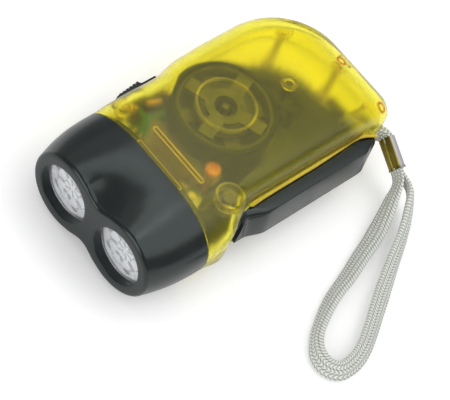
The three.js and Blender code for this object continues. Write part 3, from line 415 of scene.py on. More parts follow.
def braidedTape(opts):
    # polyester braid: strands cross in a herringbone along the tape's own UV map, where u counts ribs
    # across and v is millimetres along
    material, tree, shader = newMaterial("braidedTape", Roughness=opts["rough"], Sheen_Weight=opts["fibres"])
    where = addNode(tree, "TexCoord").outputs["UV"]
    u, v = addNode(tree, "SeparateXYZ", {"Vector": where}).outputs[:2]
    lean = addMath(tree, "MULTIPLY_ADD", addMath(tree, "PINGPONG", u, 1.0), opts["lean"], v)
    wave = addMath(tree, "SINE", addMath(tree, "MULTIPLY", lean, opts["turns"]))
    weave = addRange(tree, wave, -1.0)
    ridge = addMath(tree, "ABSOLUTE", addMath(tree, "COSINE", addMath(tree, "MULTIPLY", u, math.pi)))
    # painted shade: darker towards the weave's hollows, and scaled darker in the grooves between ribs
    tint = blendColour(tree, weave, *opts["tones"], opts["tonesAt"])
    shade = addNode(tree, "VectorMath", {0: tint, "Scale": addRange(tree, ridge, *opts["groove"])},
                    operation="SCALE")
    tree.links.new(shade.outputs["Vector"], shader.inputs["Base Color"])
    height = addMath(tree, "MULTIPLY_ADD", weave, opts["weave"], addNoise(tree, opts["fuzz"]))
    addBump(tree, shader, height, *opts["bump"])
    return material


def crimpMetal(opts):
    # thin plated brass, drawn along its length; u runs once round it, and the narrow sides carry a painted
    # highlight in pale silver
    material, tree, shader = newMaterial("crimpMetal", Metallic=opts["metal"], Roughness=opts["rough"])
    where = addNode(tree, "TexCoord").outputs["UV"]
    drawn = addNode(tree, "VectorMath", {0: where, 1: opts["stretch"]}, operation="MULTIPLY")
    noise = addNoise(tree, 1.0, detail=3.0, vector=drawn.outputs["Vector"])
    brass = blendColour(tree, noise, *opts["tones"])
    u = addNode(tree, "SeparateXYZ", {"Vector": where}).outputs["X"]
    # painted highlight: the narrow sides blend to pale silver
    sideways = addMath(tree, "ABSOLUTE", addMath(tree, "SINE", addMath(tree, "MULTIPLY", u, 2 * math.pi)))
    tint = addNode(tree, "Mix", {"Factor": addRange(tree, sideways, *opts["wornFrom"]), "A": brass,
                                 "B": (*opts["worn"], 1)}, data_type="RGBA")
    tree.links.new(tint.outputs["Result"], shader.inputs["Base Color"])
    addBump(tree, shader, noise, *opts["bump"])
    return material


# after the name: a clear material's tint and roughness; a solid one's two tones and roughness
yellowPlastic = clearMaterial("clearYellow", (0.998, 0.92, 0.085), 0.2, clear=0.98,
                              shadow=(0.995, 0.955, 0.42), haze=(60.0, 0.06),
                              ripple=(90.0, 0.06, 0.0004), index=1.4, shine=0.4)
blackSatin = blackPlastic(black)
tapeBraid = braidedTape(braid)
steelPlate = metalMaterial("steelPlate", (0.10, 0.10, 0.105), (0.17, 0.17, 0.18), 0.4)
mirrorSilver = metalMaterial("mirrorSilver", (0.92, 0.94, 0.96), (0.97, 0.98, 0.99), 0.22,
                             scale=120.0, bump=0.03, metal=0.25)
brassScrew = metalMaterial("brassScrew", (0.75, 0.27, 0.04), (0.88, 0.36, 0.07), 0.42, metal=0.4)
zincScrew = metalMaterial("zincScrew", (0.93, 0.80, 0.22), (0.97, 0.86, 0.30), 0.4, metal=0.1)
innerDark = mouldedMaterial("innerDark", (0.004, 0.010, 0.007), (0.008, 0.016, 0.012), 0.5,
                            Specular_IOR_Level=0.15)
cellSleeve = mouldedMaterial("cellSleeve", (0.02, 0.035, 0.025), (0.035, 0.05, 0.04), 0.45)
trayAmber = clearMaterial("trayAmber", (0.72, 0.60, 0.06), 0.16, clear=0.9)
lensClear = clearMaterial("lensClear", (0.985, 0.99, 1.0), 0.02, clear=0.82)
lampResin = clearMaterial("lampResin", (0.96, 0.97, 0.92), 0.03)
amberWall = mouldedMaterial("amberWall", (0.96, 0.46, 0.02), (0.99, 0.54, 0.03), 0.35,
                            Transmission_Weight=0.35)
yellowEdge = mouldedMaterial("yellowEdge", (0.84, 0.60, 0.03), (0.92, 0.70, 0.05), 0.35,
                             Transmission_Weight=0.4)
ceramicTan = mouldedMaterial("ceramicTan", (0.55, 0.30, 0.04), (0.70, 0.42, 0.07), 0.4)
wireGreen = mouldedMaterial("wireGreen", (0.01, 0.13, 0.06), (0.02, 0.19, 0.09), 0.35)
slotMaterials = {
    "clear_yellow": yellowPlastic, "black_plastic": blackSatin, "clear_lens": lensClear,
    "mirror_silver": mirrorSilver, "led_clear": lampResin, "steel": steelPlate, "tape": tapeBraid,
    "circuit_green": mouldedMaterial("boardGreen", (0.02, 0.16, 0.05), (0.04, 0.26, 0.09), 0.4, scale=500.0),
    "nylon": mouldedMaterial("nylonGear", (0.02, 0.026, 0.02), (0.035, 0.042, 0.032), 0.5),
    "magnet": mouldedMaterial("ferrite", (0.035, 0.035, 0.038), (0.06, 0.06, 0.065), 0.6),
    "copper": metalMaterial("copperWire", (0.45, 0.16, 0.05), (0.70, 0.30, 0.11), 0.35),
    "crimp_metal": crimpMetal(crimp),
}
nodeMaterials = {  # CAD nodes that differ from their slot, without their numbers
    "battery_tray": trayAmber, "battery_cell": cellSleeve, "inner_deck": innerDark, "flywheel": innerDark,
    "case_screw": zincScrew, "strap_post": zincScrew,
}
for row in frame["record"]["subparts"]:
    material = nodeMaterials.get(row["node"].rstrip("_1234"), slotMaterials[row["material_slot"]])
    fillMaterial(frame["nodes"][row["node"]], material)
print("materials made")

# Wrist strap, its bight round the post and its ferrule
strap = {
    "exit": (22.4, 92.3, 12.6), "ferruleEnd": (30.2, 90.4, 9.8),
    "width": 5.8, "thickness": 2.3, "ribs": 4, "ribDepth": 0.3,
    "square": 2.6,            # power of the section's rounded slab; 2 is an ellipse
    "pinched": 0.95,          # thickness where the crimp squeezes it
    "inCrimp": 4.6,           # width there
    "apart": 0.62,            # half the distance of the two strands in the crimp
    "inside": 0.6, "straight": 1.5,  # each end starts this far inside the crimp and runs straight this far
    "thickens": (0, 14), "widens": (1, 9),  # between these distances from its ends
    "steps": 420,
    "lean": (8, 52, 40, 14, 46, 52, 30, 8),  # degrees off upright along the loop
    "route": [
        (33.2, 88.4, 8.6), (36.0, 83.9, 6.4), (38.9, 78.4, 4.5), (41.5, 72.6, 3.4), (43.9, 65.6, 3.0),
        (46.6, 58.0, 3.0), (49.0, 50.2, 3.0), (52.1, 43.5, 3.0), (55.7, 37.8, 3.0), (59.7, 34.6, 3.0),
        (63.7, 34.3, 3.0), (66.5, 36.5, 3.0), (66.9, 41.1, 3.0), (65.4, 46.5, 3.0), (62.1, 52.7, 3.0),
        (58.5, 58.5, 3.0), (54.2, 65.7, 3.0), (49.9, 73.1, 3.2), (46.2, 79.4, 4.1), (41.6, 85.6, 6.0),
        (36.8, 90.0, 8.0),
    ],
}
strapAxis = unit(np.subtract(strap["ferruleEnd"], strap["exit"]))
strapSide = unit(np.cross((0, 0, 1), strapAxis))


def tapeAlong(line, lean, thickness, width, ringCount=60):
    # flat ribbed section carried along a line: a rounded slab whose broad faces rise in cosine ribs;
    # it stands on edge and leans by an angle towards the horizontal across the line
    along = unit(np.gradient(line, axis=0))
    side = unit(np.cross((0, 0, 1), along))
    rise = np.cross(along, side)
    tilt = np.radians(lean)[:, None]
    up = rise * np.cos(tilt) + side * np.sin(tilt)
    out = np.cross(along, up)
    turn = fullTurn(ringCount)
    u, v = (signedPower(t, 2 / strap["square"]) for t in (np.cos(turn), np.sin(turn)))
    ribs, ribMiddle = strap["ribs"], 0.6
    bump = (np.abs(np.cos(u * ribs * np.pi / 2)) - ribMiddle) * strap["ribDepth"] * np.abs(v)
    half = thickness[:, None] / 2 * v + np.sign(v) * bump * (thickness / thickness.max())[:, None]
    wide = np.broadcast_to(width, len(line))[:, None] / 2
    points, faces = closedBand(line[:, None] + up[:, None] * (u * wide)[:, :, None]
                               + out[:, None] * half[:, :, None])
    uv = np.stack(np.broadcast_arrays((u * ribs / 2 + ribs)[None], runAlong(line)[:, None]), -1)
    return points, faces, np.concatenate([uv[:1], uv, uv[-1:]]).reshape(-1, 2)


def strandEnds(opts, place):
    # where the two strands lie side by side in the crimp
    return [np.array(opts[place]) + sign * opts["apart"] * strapSide for sign in (-1, 1)]


def makeStrap(opts):
    ends = strandEnds(opts, "ferruleEnd")
    inside, straight = opts["inside"] * strapAxis, opts["straight"] * strapAxis
    route = [ends[0] - inside, ends[0] + straight, *opts["route"], ends[1] + straight, ends[1] - inside]
    line, length = smoothLine(route, opts["steps"])
    share = np.linspace(0, 1, len(line))
    lean = np.interp(share, np.linspace(0, 1, len(opts["lean"])), opts["lean"])
    near = np.minimum(share, 1 - share) * length
    thickness = mix(opts["pinched"], opts["thickness"], smoothstep(*opts["thickens"], near))
    width = mix(opts["inCrimp"], opts["width"], smoothstep(*opts["widens"], near))
    points, faces, uv = tapeAlong(line, lean, thickness, width)
    tape = makePiece("wristTape", [(points, faces)], tapeBraid, "tape", uv=uv, replaces=["wrist_strap"],
                     angle=70)
    print("strap length mm", round(length, 1))


makeStrap(strap)

bight = {
    "post": (13.2, 87.9), "radius": 2.2, "turn": (95, 315), "points": 12, "steps": 90,
    "inside": 1.2,  # the strands run straight this far from the crimp into the case
    "thickness": 1.5, "pinch": 0.5, "pinchFrom": 0.7, "lean": 6.0,
}


def makeBight(opts):
    # the same tape, pinched, from the crimp through the window and round the post inside
    first, last = strandEnds(strap, "exit")
    turn = np.radians(np.linspace(*opts["turn"], opts["points"]))
    around = opts["post"] + opts["radius"] * onCircle(turn)
    around = [(*place, strap["exit"][2]) for place in around]
    out, into = strap["inside"] * strapAxis, opts["inside"] * strapAxis
    line, _ = smoothLine([last + out, last - into, *around, first - into, first + out], opts["steps"])
    share = np.abs(np.linspace(-1, 1, len(line)))
    thickness = opts["thickness"] - opts["pinch"] * smoothstep(opts["pinchFrom"], 1.0, share)
    points, faces, uv = tapeAlong(line, np.full(len(line), opts["lean"]), thickness, strap["inCrimp"])
    makePiece("strapBight", [(points, faces)], tapeBraid, "tape", uv=uv, replaces=["strap_bight"],
              angle=70)


makeBight(bight)

ferrule = {
    "width": 5.4, "thickness": 2.4, "wall": 0.28, "square": 4.5,
    "rows": 26, "columns": 110, "finePoints": 6000,
    "thin": 0.75,          # share of the wall that shows in the thickness
    "lean": 10,            # degrees off upright
    "gap": 0.1,            # each edge stops this far from the seam's middle
    "seamDip": 0.35,       # how far the two curled edges turn in at the seam
    "dipReach": 0.3,
    "swell": 0.16, "swellAt": 0.95, "swellReach": 0.5,  # the bulge beside each curled edge
    "start": -0.1,         # of its length, inside the case
    "flare": 0.3, "flareFrom": 0.93, "flareThick": 1.6,  # the lip opens at the strap's end
}


def makeFerrule(opts):
    # one strip of metal bent round both tapes: a rounded slab section whose open edges meet on the front
    # face and curl inwards, carried along the crimp's axis, thickened inwards by the wall
    start, end = np.array(strap["exit"]), np.array(strap["ferruleEnd"])
    tilt = math.radians(opts["lean"])
    up = np.cross(strapAxis, strapSide) * math.cos(tilt) + strapSide * math.sin(tilt)
    out = np.cross(strapAxis, up)      # points to the front, away from +side
    # the section starts and ends at the seam in the middle of the front face (turn 0), in even steps
    turn = np.linspace(0, 1, opts["finePoints"]) * 2 * np.pi
    a, b = opts["width"] / 2, opts["thickness"] / 2
    power = 2 / opts["square"]
    section = np.stack([signedPower(np.sin(turn), power) * a, signedPower(np.cos(turn), power) * b], -1)
    run = runAlong(section)
    even = np.linspace(opts["gap"], run[-1] - opts["gap"], opts["columns"])
    u, v = pointsAt(section, run, even).T
    near = np.minimum(even, run[-1] - even)
    v = (v - opts["seamDip"] * np.exp(-((near / opts["dipReach"]) ** 2))
         + opts["swell"] * np.exp(-(((near - opts["swellAt"]) / opts["swellReach"]) ** 2)))
    along = np.linspace(opts["start"], 1.0, opts["rows"])[:, None]
    flare = opts["flare"] / a * smoothstep(opts["flareFrom"], 1.0, along)
    skins = []
    for inset in (0.0, opts["wall"]):
        wide = (1 - inset / a) * u * (1 + flare)
        thick = (1 - inset / b * opts["thin"]) * v * (1 + flare * opts["flareThick"])
        skins.append((start + along * (end - start))[:, None] + wide[:, :, None] * up
                     + thick[:, :, None] * out)
    uv = np.stack(np.broadcast_arrays((even / run[-1])[None], along), -1).reshape(-1, 2)
    makePiece("strapCrimp", [twoSkins(skins)], slotMaterials["crimp_metal"], "crimp_metal",
              uv=np.concatenate([uv, uv]), replaces=["strap_ferrule"], angle=45)


makeFerrule(ferrule)
print("strap made")

# Clear case halves
case = {
    "length": 95.5, "half": 27.0, "wall": 2.0, "seam": 19.6, "seamGap": 0.15, "parting": 0.14,
    "tailCorner": (24.0, 7.0), "tailRun": 20.0, "tailDrop": 8.4, "gripStart": 0.1716, "seamTall": 0.978,
    "power": 2.25,
    "seamRound": (0.78, 0.985), "sideRound": ((0.33, 0.85), (0.24, 0.5)),  # switch side, lever side
    "share": (0, .0708, .1148, .1501, .1823, .2145, .2681, .311, .341, .3754, .4504, .5362, 1),
    "switchSide": (.952, .95, .938, .927, .92, .918, .92, .93, .955, .975, .992, 1, 1),
    "leverSide": (.933, .93, .905, .84, .79, .75, .728, .726, .726, .726, .726, .726, .726),
    "slot": (29.7, 85.9, 4.8), "window": (86.8, 94.2, 1.9, 3.5), "hole": (33.7, 38.7, 1.5),
    "hair": 0.02,  # width of a step in the parting edge
    "bendPoints": 15, "wallPoints": 4, "topPoints": 8, "rows": 90, "tailRows": 47,
    "capShares": (0.75, 0.5, 0.25, 0.0),  # rings that close the tail's end
    "steepest": 2.5,
}


def sideAt(opts, share, key):
    # half width of one side along the body: smooth curve through the listed shares
    x, y = np.array(opts["share"]), np.array(opts[key]) * opts["half"]
    slope = np.gradient(y, x)
    slope[-2:] = 0
    k = np.clip(np.searchsorted(x, share, side="right") - 1, 0, len(x) - 2)
    step = x[k + 1] - x[k]
    rise = (y[k + 1] - y[k]) / step
    level = np.where(rise == 0, 1, rise)
    low, high = (np.where(rise == 0, 0, np.clip(slope[i] / level, 0, opts["steepest"])) * rise
                 for i in (k, k + 1))
    return cubic(np.clip((share - x[k]) / step, 0, 1), step, y[k], y[k + 1], low, high)


def caseSection(opts, s, inset, edgeLift):
    # half section at every s: from the lever side's edge straight up, over the rounded shoulder, across the
    # flat top and down the switch side; edgeLift is each side's height of the edge above the middle
    share = (s - opts["seam"]) / (opts["length"] - opts["seam"])
    grip = (smoothstep(0, opts["gripStart"], share) + ramp(0, opts["gripStart"], share)) / 2
    end = opts["length"] - inset
    run = opts["tailRun"] - inset / 2
    tall = (midHeight * mix(opts["seamTall"], 1, grip) - inset
            - opts["tailDrop"] / run * drawnIn(s, end, run))
    bend = np.linspace(0, 1, opts["bendPoints"]) * np.pi / 2
    climb = np.arange(opts["wallPoints"]) / opts["wallPoints"]
    halves = []
    for side, key in ((1, "leverSide"), (0, "switchSide")):
        half = sideAt(opts, share, key) - inset - drawnIn(s, end, opts["tailCorner"][side] - inset)
        roundW, roundH = (size * mix(opts["seamRound"][i], opts["sideRound"][side][i], grip)
                          for i, size in enumerate((half, tall)))
        shoulder = tall - roundH
        foot = np.maximum(np.minimum(edgeLift[side], shoulder - opts["hair"]), opts["hair"])
        wallZ = foot[:, None] + (shoulder - foot)[:, None] * climb
        bendX = (half - roundW)[:, None] + roundW[:, None] * np.cos(bend) ** (2 / opts["power"])
        bendZ = shoulder[:, None] + roundH[:, None] * np.sin(bend) ** (2 / opts["power"])
        x = np.concatenate([np.repeat(half[:, None], len(climb), 1), bendX], 1)
        halves.append((x if side else -x, np.concatenate([wallZ, bendZ], 1)))
    (leverX, leverZ), (switchX, switchZ) = halves
    flat = np.arange(1, opts["topPoints"] + 1) / (opts["topPoints"] + 1)
    x = np.concatenate([leverX, mix(leverX[:, -1:], switchX[:, -1:], flat), switchX[:, ::-1]], 1)
    z = np.concatenate([leverZ, np.repeat(tall[:, None], len(flat), 1), switchZ[:, ::-1]], 1)
    return np.stack([x, np.repeat(s[:, None], x.shape[1], 1), z], -1)


def liftAt(s, spans):
    # height of the parting edge: raised between each opening's two ends
    lift = np.full(len(s), case["parting"])
    for low, high, height in spans:
        lift = np.maximum(lift, np.where((s > low) & (s < high), height, 0))
    return lift


def caseHalf(name, node, up, windowLift):
    # outer and inner skins of one half joined along the seam, the parting edges and the drawn-in tail
    opts, corner = case, case["tailCorner"][0]
    tailFrom = opts["length"] - corner
    front = np.linspace(opts["seam"] + opts["seamGap"], tailFrom, opts["rows"])
    tail = tailFrom + corner * np.sin(quarterTurn(opts["tailRows"] + 1)[1:])
    cuts = [at + d for key in ("slot", "window", "hole") for at in opts[key][:2]
            for d in (-opts["hair"], opts["hair"])]
    s = np.sort(np.concatenate([front, tail, cuts]))
    leverLift = liftAt(s, [opts["slot"], (*opts["window"][:2], windowLift)])
    skins = []
    for inset in (0.0, opts["wall"]):
        deep = np.where(s > tailFrom, tailFrom + (s - tailFrom) * (corner - inset) / corner, s)
        skin = caseSection(opts, deep, inset, (liftAt(s, [opts["hole"]]), leverLift))
        cap = [skin[-1] * (1, 1, q) + (0, 0, opts["parting"] * (1 - q)) for q in opts["capShares"]]
        skin = np.concatenate([skin, cap])
        skin[..., 2] = midHeight + up * skin[..., 2]
        skins.append(skin)
    makePiece(name, [twoSkins(skins)], yellowPlastic, "clear_yellow", replaces=[node], angle=38,
              merge=0.002)


caseHalf("caseTop", "upper_shell", 1, case["window"][2])
caseHalf("caseBottom", "lower_shell", -1, case["window"][3])
print("case made")

# Black head
head = {
    "spacing": 22.0, "lobe": 11.9, "waist": 8.7, "sharp": 8, "rim": 1.3,
    "swell": 2.4,            # how soon the head widens behind its rim; 1 is straight
    "hole": 8.4, "holeEdge": 0.35, "bore": 9.35, "recess": 2.5, "pocket": 14.9, "boreEdge": 0.1,
    "back": 19.45, "backStep": 0.25, "spigotInset": 2.6, "spigotWall": 1.1, "spigotEnd": 22.2,
    "columns": 256, "rows": 40, "rimRows": 8, "holeRows": 5, "faceShare": 0.6,
    "ovalShare": 0.94,       # the seam oval's half width, of the case's
}


def lobeTop(opts, x):
    # upper outline of the front face: two circles joined by a waist, blended by a high power
    across = np.abs(x) - opts["spacing"] / 2
    arc = np.sqrt(np.maximum(0, opts["lobe"] ** 2 - across**2))
    waist = opts["waist"] * ramp(0, opts["spacing"] / 4, -across)
    both = (arc ** opts["sharp"] + waist ** opts["sharp"]) ** (1 / opts["sharp"])
    return np.where(across >= 0, arc, both)


def headOutline(opts, turn):
    # front figure-of-eight and seam oval as functions of the same turn
    c, sign = np.cos(turn), np.sign(np.round(np.sin(turn), 9))
    frontX = (opts["spacing"] / 2 + opts["lobe"]) * c
    tall = midHeight * case["seamTall"]
    halfX = np.where(c > 0, case["leverSide"][0], case["switchSide"][0]) * case["half"]
    roundW, roundH = halfX * case["seamRound"][0], tall * case["seamRound"][1]
    ovalX = halfX * np.abs(c)
    inside = ramp(halfX - roundW, halfX, ovalX) ** (case["power"] / 2)
    ovalZ = sign * (tall - roundH + roundH * np.sqrt(1 - inside**2) ** (2 / case["power"]))
    return (frontX, sign * lobeTop(opts, frontX)), (ovalX * np.sign(c), ovalZ)


def headRing(opts, turn, s, shrink=0.0):
    # ring between the front outline and the seam oval, eased in along the head
    (fx, fz), (ox, oz) = headOutline(opts, turn)
    blend = 1 - (1 - ramp(opts["rim"], case["seam"], s)) ** opts["swell"]
    x = mix(fx, ox, blend) * (1 - shrink / (opts["spacing"] / 2 + opts["lobe"]))
    z = mix(fz, oz, blend) * (1 - shrink / opts["lobe"])
    return np.stack([x, np.full(len(turn), s), midHeight + z], -1)


def ovalRing(opts, turn, inset, s):
    # the seam oval drawn in by an inset
    _, (ox, oz) = headOutline(opts, turn)
    x = ox * (1 - inset / (case["half"] * opts["ovalShare"]))
    z = oz * (1 - inset / (midHeight * case["seamTall"]))
    return np.stack([x, np.full(len(turn), s), midHeight + z], -1)


def lobeLoop(ring, side, across=9):
    # the part of a ring on one lobe's side, closed by a straight line down the middle
    quarter = len(ring) // 4
    order = np.arange(-quarter, quarter + 1) if side > 0 else np.arange(quarter, 3 * quarter + 1)
    arc = ring[order % len(ring)]
    t = np.linspace(0, 1, across + 2)[1:-1, None]
    return np.concatenate([arc, mix(arc[-1], arc[0], t)])


def makeHead(opts):
    # skin from the front rim to the seam, flat faces with a hole for each lamp, bores, pocket and spigot
    turn = fullTurn(opts["columns"])
    rings = [headRing(opts, turn, depth, inset) for inset, depth in roundEdge(opts["rim"], opts["rimRows"])]
    rings += [headRing(opts, turn, at) for at in np.linspace(opts["rim"], opts["back"], opts["rows"])[1:]]
    inset = opts["spigotInset"]
    bore = inset + opts["spigotWall"]
    rings += [ovalRing(opts, turn, *row) for row in (
        (opts["backStep"], opts["back"]), (inset, opts["back"]), (inset, opts["spigotEnd"]),
        (bore, opts["spigotEnd"]), (bore, opts["pocket"]))]
    parts = [wrapped(rings)]
    hole = opts["hole"]
    profile = [(hole + inset, depth) for inset, depth in roundEdge(opts["holeEdge"], opts["holeRows"])]
    profile += [(hole, opts["recess"] - opts["boreEdge"]), (hole + opts["boreEdge"], opts["recess"]),
                (opts["bore"], opts["recess"]), (opts["bore"], opts["pocket"])]
    for side in (-1, 1):
        loop, floor = lobeLoop(rings[0], side), lobeLoop(rings[-1], side)
        centre = np.array((side * opts["spacing"] / 2, 0, midHeight))
        way = unit((loop - centre) * (1, 0, 1))  # the hole's points stand in line with the loop's
        rows = [centre + radius * way + (0, s, 0) for radius, s in profile]
        face = mix(loop, rows[0], opts["faceShare"])
        parts.append(wrapped([loop, face, *rows, floor]))
    makePiece("torchHead", parts, blackSatin, "black_plastic", replaces=["head_bezel"], angle=32)


makeHead(head)

# Lamp lenses, reflectors and lamps
lamp = {
    "lensRadius": 9.1, "lensFrom": 2.8, "lensThick": 1.4, "crown": 0.35,
    "lensEdge": 0.15, "rimFrom": (0.345, 0.5), "rimBack": 0.1, "lensRows": 60, "lensColumns": 168,
    "facets": 7, "rippleDepth": 0.17, "rippleRing": 3.0, "ringShare": 0.35,
    "fadeIn": (0.4, 2.0), "fadeOut": (8.2, 8.9),
    "cupFrom": 4.6, "cupDepth": 9.4, "cupMouth": 8.3, "cupThroat": 3.2, "cupWall": 0.7,
    "cupRows": 26, "cupColumns": 144,
    "dimples": 10, "dimpleDepth": 0.16, "dimpleRate": 1.9, "dimpleFade": (3.4, 4.4),
    "ledRadius": 2.5, "ledTip": 9.8, "ledBase": 14.8, "ledRows": 12, "ledColumns": 40,
    "collar": 0.35, "collarRise": 1.0, "collarEdge": 0.1,
}


def makeLamp(opts, side, label):
    centre = side * head["spacing"] / 2

    def spun(profile, count, ripple=None):
        # profile of (radius, s) turned about the lamp's axis
        x, z, s = turned(profile, count, ripple)
        return wrapped(np.stack([centre + x, s, midHeight + z], -1))

    def facet(r, turn):
        # moulded pillows on the lens's inner face: radial fans crossed by rings
        fade = smoothstep(*opts["fadeIn"], r) * (1 - smoothstep(*opts["fadeOut"], r))
        ring = r / opts["rippleRing"]
        fan = np.cos(turn * opts["facets"] + np.where(np.floor(ring) % 2 > 0, np.pi, 0))
        return -opts["rippleDepth"] * fade * (fan + opts["ringShare"] * np.cos(ring * 2 * np.pi))

    def dimple(r, turn):
        wave = np.cos(turn * opts["dimples"]) * np.cos(r * opts["dimpleRate"])
        return opts["dimpleDepth"] * wave * smoothstep(*opts["dimpleFade"], r)

    radius, front, edge = opts["lensRadius"], opts["lensFrom"], opts["lensEdge"]
    back, count = front + opts["lensThick"], opts["lensColumns"]
    rings = np.linspace(0, radius - edge, opts["lensRows"])
    rim = [(radius - edge, front + opts["rimFrom"][0]), (radius, front + opts["rimFrom"][1]),
           (radius, back - opts["rimBack"]), (radius - edge, back)]
    faces = [spun([(r, front + opts["crown"] * (r / radius) ** 2) for r in rings], count),
             spun(rim, count), spun([(r, back) for r in rings], count, facet)]
    makePiece("lensDisc_" + label, faces, lensClear, "clear_lens", replaces=["lens_" + label], angle=50,
              merge=0.003)

    # bowl whose radius grows with the square root of the way to its mouth
    cup = [(mix(opts["cupThroat"], opts["cupMouth"], math.sqrt(q)),
            opts["cupFrom"] + opts["cupDepth"] * (1 - q)) for q in np.linspace(0, 1, opts["cupRows"])]
    skin = [(r + opts["cupWall"], at) for r, at in reversed(cup)]
    makePiece("lampCup_" + label, [spun(cup + skin + [cup[0]], opts["cupColumns"], dimple)], mirrorSilver,
              "mirror_silver", replaces=["reflector_" + label], angle=60, merge=0.002)

    radius, base = opts["ledRadius"], opts["ledBase"]
    collar, top = radius + opts["collar"], base - opts["collarRise"]
    dome = [(radius * math.sin(t), opts["ledTip"] + radius * (1 - math.cos(t)))
            for t in quarterTurn(opts["ledRows"])]
    foot = [(radius, top - opts["collarEdge"]), (collar, top), (collar, base), (0, base)]
    makePiece("ledLamp_" + label, [spun(dome + foot, opts["ledColumns"])], lampResin, "led_clear",
              replaces=["led_" + label], angle=40, merge=0.002)


makeLamp(lamp, -1, "left")
makeLamp(lamp, 1, "right")
print("head made")

# Squeeze lever: grip outside, toothed plate inside
lever = {
    "pivot": (16.5, 31.5), "nose": 6.2, "low": 9.0, "high": 18.0,
    "outer": 25.1, "inner": 16.9, "neck": 23.3, "neckFrom": 33.5, "flare": (36.0, 43.5),
    "noseBack": 37.7, "gripFrom": 42.2, "end": 85.6, "chamfer": (2.9, 5.2),
    "edge": 0.35, "edgeMost": 0.4, "endRound": 0.5,
    "creaseWidth": 2.1, "creaseMost": 0.8, "creaseDepth": 2.4,
    "creaseStart": (33.3, 35.0), "creaseEnd": (36.5, 48.0),
    "draft": 1.3, "draftOver": 4, "draftEases": 0.5,  # the outer face leans in by this much at the top
    "undercut": (79.8, 7.6),  # from this s on the underside climbs by this much to the end
    "channel": (70.9, 21.9, 10.5), "channelWall": 1.2,  # start, outer side and roof of the lock's channel
    "channelStep": 0.02, "channelEnd": 0.4,
    "noseStart": 0.02, "step": 0.01, "dense": (50, 80.4), "rows": (16, 6, 44, 24, 12, 5),
    "cornerRows": 5, "topShares": (0.4, 0.5, 0.6, 0.7),
}


def leverSides(opts, s):
    # inner and outer x of the grip at s: round nose, neck, flare, straight run, chamfered end
    px, ps = opts["pivot"]
    arc = np.sqrt(np.maximum(0, opts["nose"] ** 2 - (s - ps) ** 2))
    outer = mix(opts["neck"], opts["outer"], smoothstep(*opts["flare"], s))
    outer = np.where(s < opts["neckFrom"], px + arc, outer)
    wide, long = opts["chamfer"]
    outer = outer - wide * ramp(opts["end"] - long, opts["end"], s)
    inner = np.where(s < ps, px - arc, px - opts["nose"])
    return mix(inner, opts["inner"], ramp(opts["noseBack"], opts["gripFrom"], s)), outer


def leverRows(opts):
    # places of the sections along the grip: closer round the nose, at the neck's step and at the end
    pivot, neck, (first, second) = opts["pivot"][1], opts["neckFrom"], opts["dense"]
    start, last = pivot - opts["nose"], opts["end"] - opts["endRound"]
    rows = opts["rows"]
    nose = mix(start, pivot, 1 - np.cos(np.linspace(opts["noseStart"], 1, rows[0]) * np.pi / 2))
    return np.concatenate([nose, np.linspace(pivot, neck - opts["step"], rows[1])[1:],
                           [neck + opts["step"]], np.linspace(neck, first, rows[2])[1:],
                           np.linspace(first, second, rows[3])[1:],
                           np.linspace(second, last, rows[4])[1:],
                           last + opts["endRound"] * np.sin(quarterTurn(rows[5])[1:])])


def makeLever(opts):
    # closed sections across the grip: flat underside, inner side, flat top, crease, outer side
    s = leverRows(opts)
    tuck = drawnIn(s, opts["end"], opts["endRound"])
    inner, outer = leverSides(opts, s)
    inner, outer = inner + tuck, outer - tuck
    climb = ramp(opts["undercut"][0], opts["end"], s)
    low, high = opts["low"] + tuck + opts["undercut"][1] * climb, opts["high"] - tuck
    fade = smoothstep(*opts["creaseStart"], s) * (1 - smoothstep(*opts["creaseEnd"], s))
    half = (outer - inner) / 2
    edge = np.minimum(opts["edge"], half * opts["edgeMost"])
    wide = np.minimum(mix(opts["edge"], opts["creaseWidth"], fade), half * opts["creaseMost"])
    deep = mix(opts["edge"], opts["creaseDepth"], fade)
    neck = opts["neckFrom"]
    lean = (opts["draft"] * smoothstep(neck, neck + opts["draftOver"], s)
            * (1 - climb * opts["draftEases"]))

    def corner(x, z, w, h, sx, sz):
        # rounded corner from its flank to its flat; reversed where the section runs the other way
        turn = quarterTurn(opts["cornerRows"])[::1 if sx * sz > 0 else -1]
        return [(x - sx * w * (1 - np.cos(t)), z - sz * h * (1 - np.sin(t))) for t in turn]

    inChannel = (s > opts["channel"][0]) & (s < opts["end"] - opts["channelEnd"])
    roof = np.where(inChannel, np.maximum(low, opts["channel"][2]), low)
    channelX = np.minimum(opts["channel"][1], outer - opts["channelWall"])
    section = (corner(outer, low, edge, edge, 1, -1) + corner(outer - lean, high, wide, deep, 1, 1)
               + [(mix(outer, inner, q), high) for q in opts["topShares"]]
               + corner(inner, high, edge, edge, -1, 1) + corner(inner, roof, edge, edge, -1, -1)
               + [(channelX - opts["channelStep"], roof), (channelX, low)])
    rings = np.stack([np.stack([x, s, z], -1) for x, z in section], 1)
    makePiece("leverGrip", [closedBand(rings)], blackSatin, "black_plastic", body="lever",
              replaces=["squeeze_lever"], angle=28, merge=0.001)


makeLever(lever)

plate = {
    "low": 12.0, "high": 15.0, "edge": 0.25, "hub": 5.2, "web": (23.0, 36.5), "band": (47.0, 51.05),
    "angles": (84.5, 107.0, 129.0, 143.5),  # of the band's start, the slot, the web's end and the band's end
    "teeth": 94, "phase": 115.6, "toothDepth": 1.25, "toothStep": 0.12, "flank": (0.25, 0.75),
    "bandPoints": 60, "webPoints": 18, "hubPoints": 10,
}


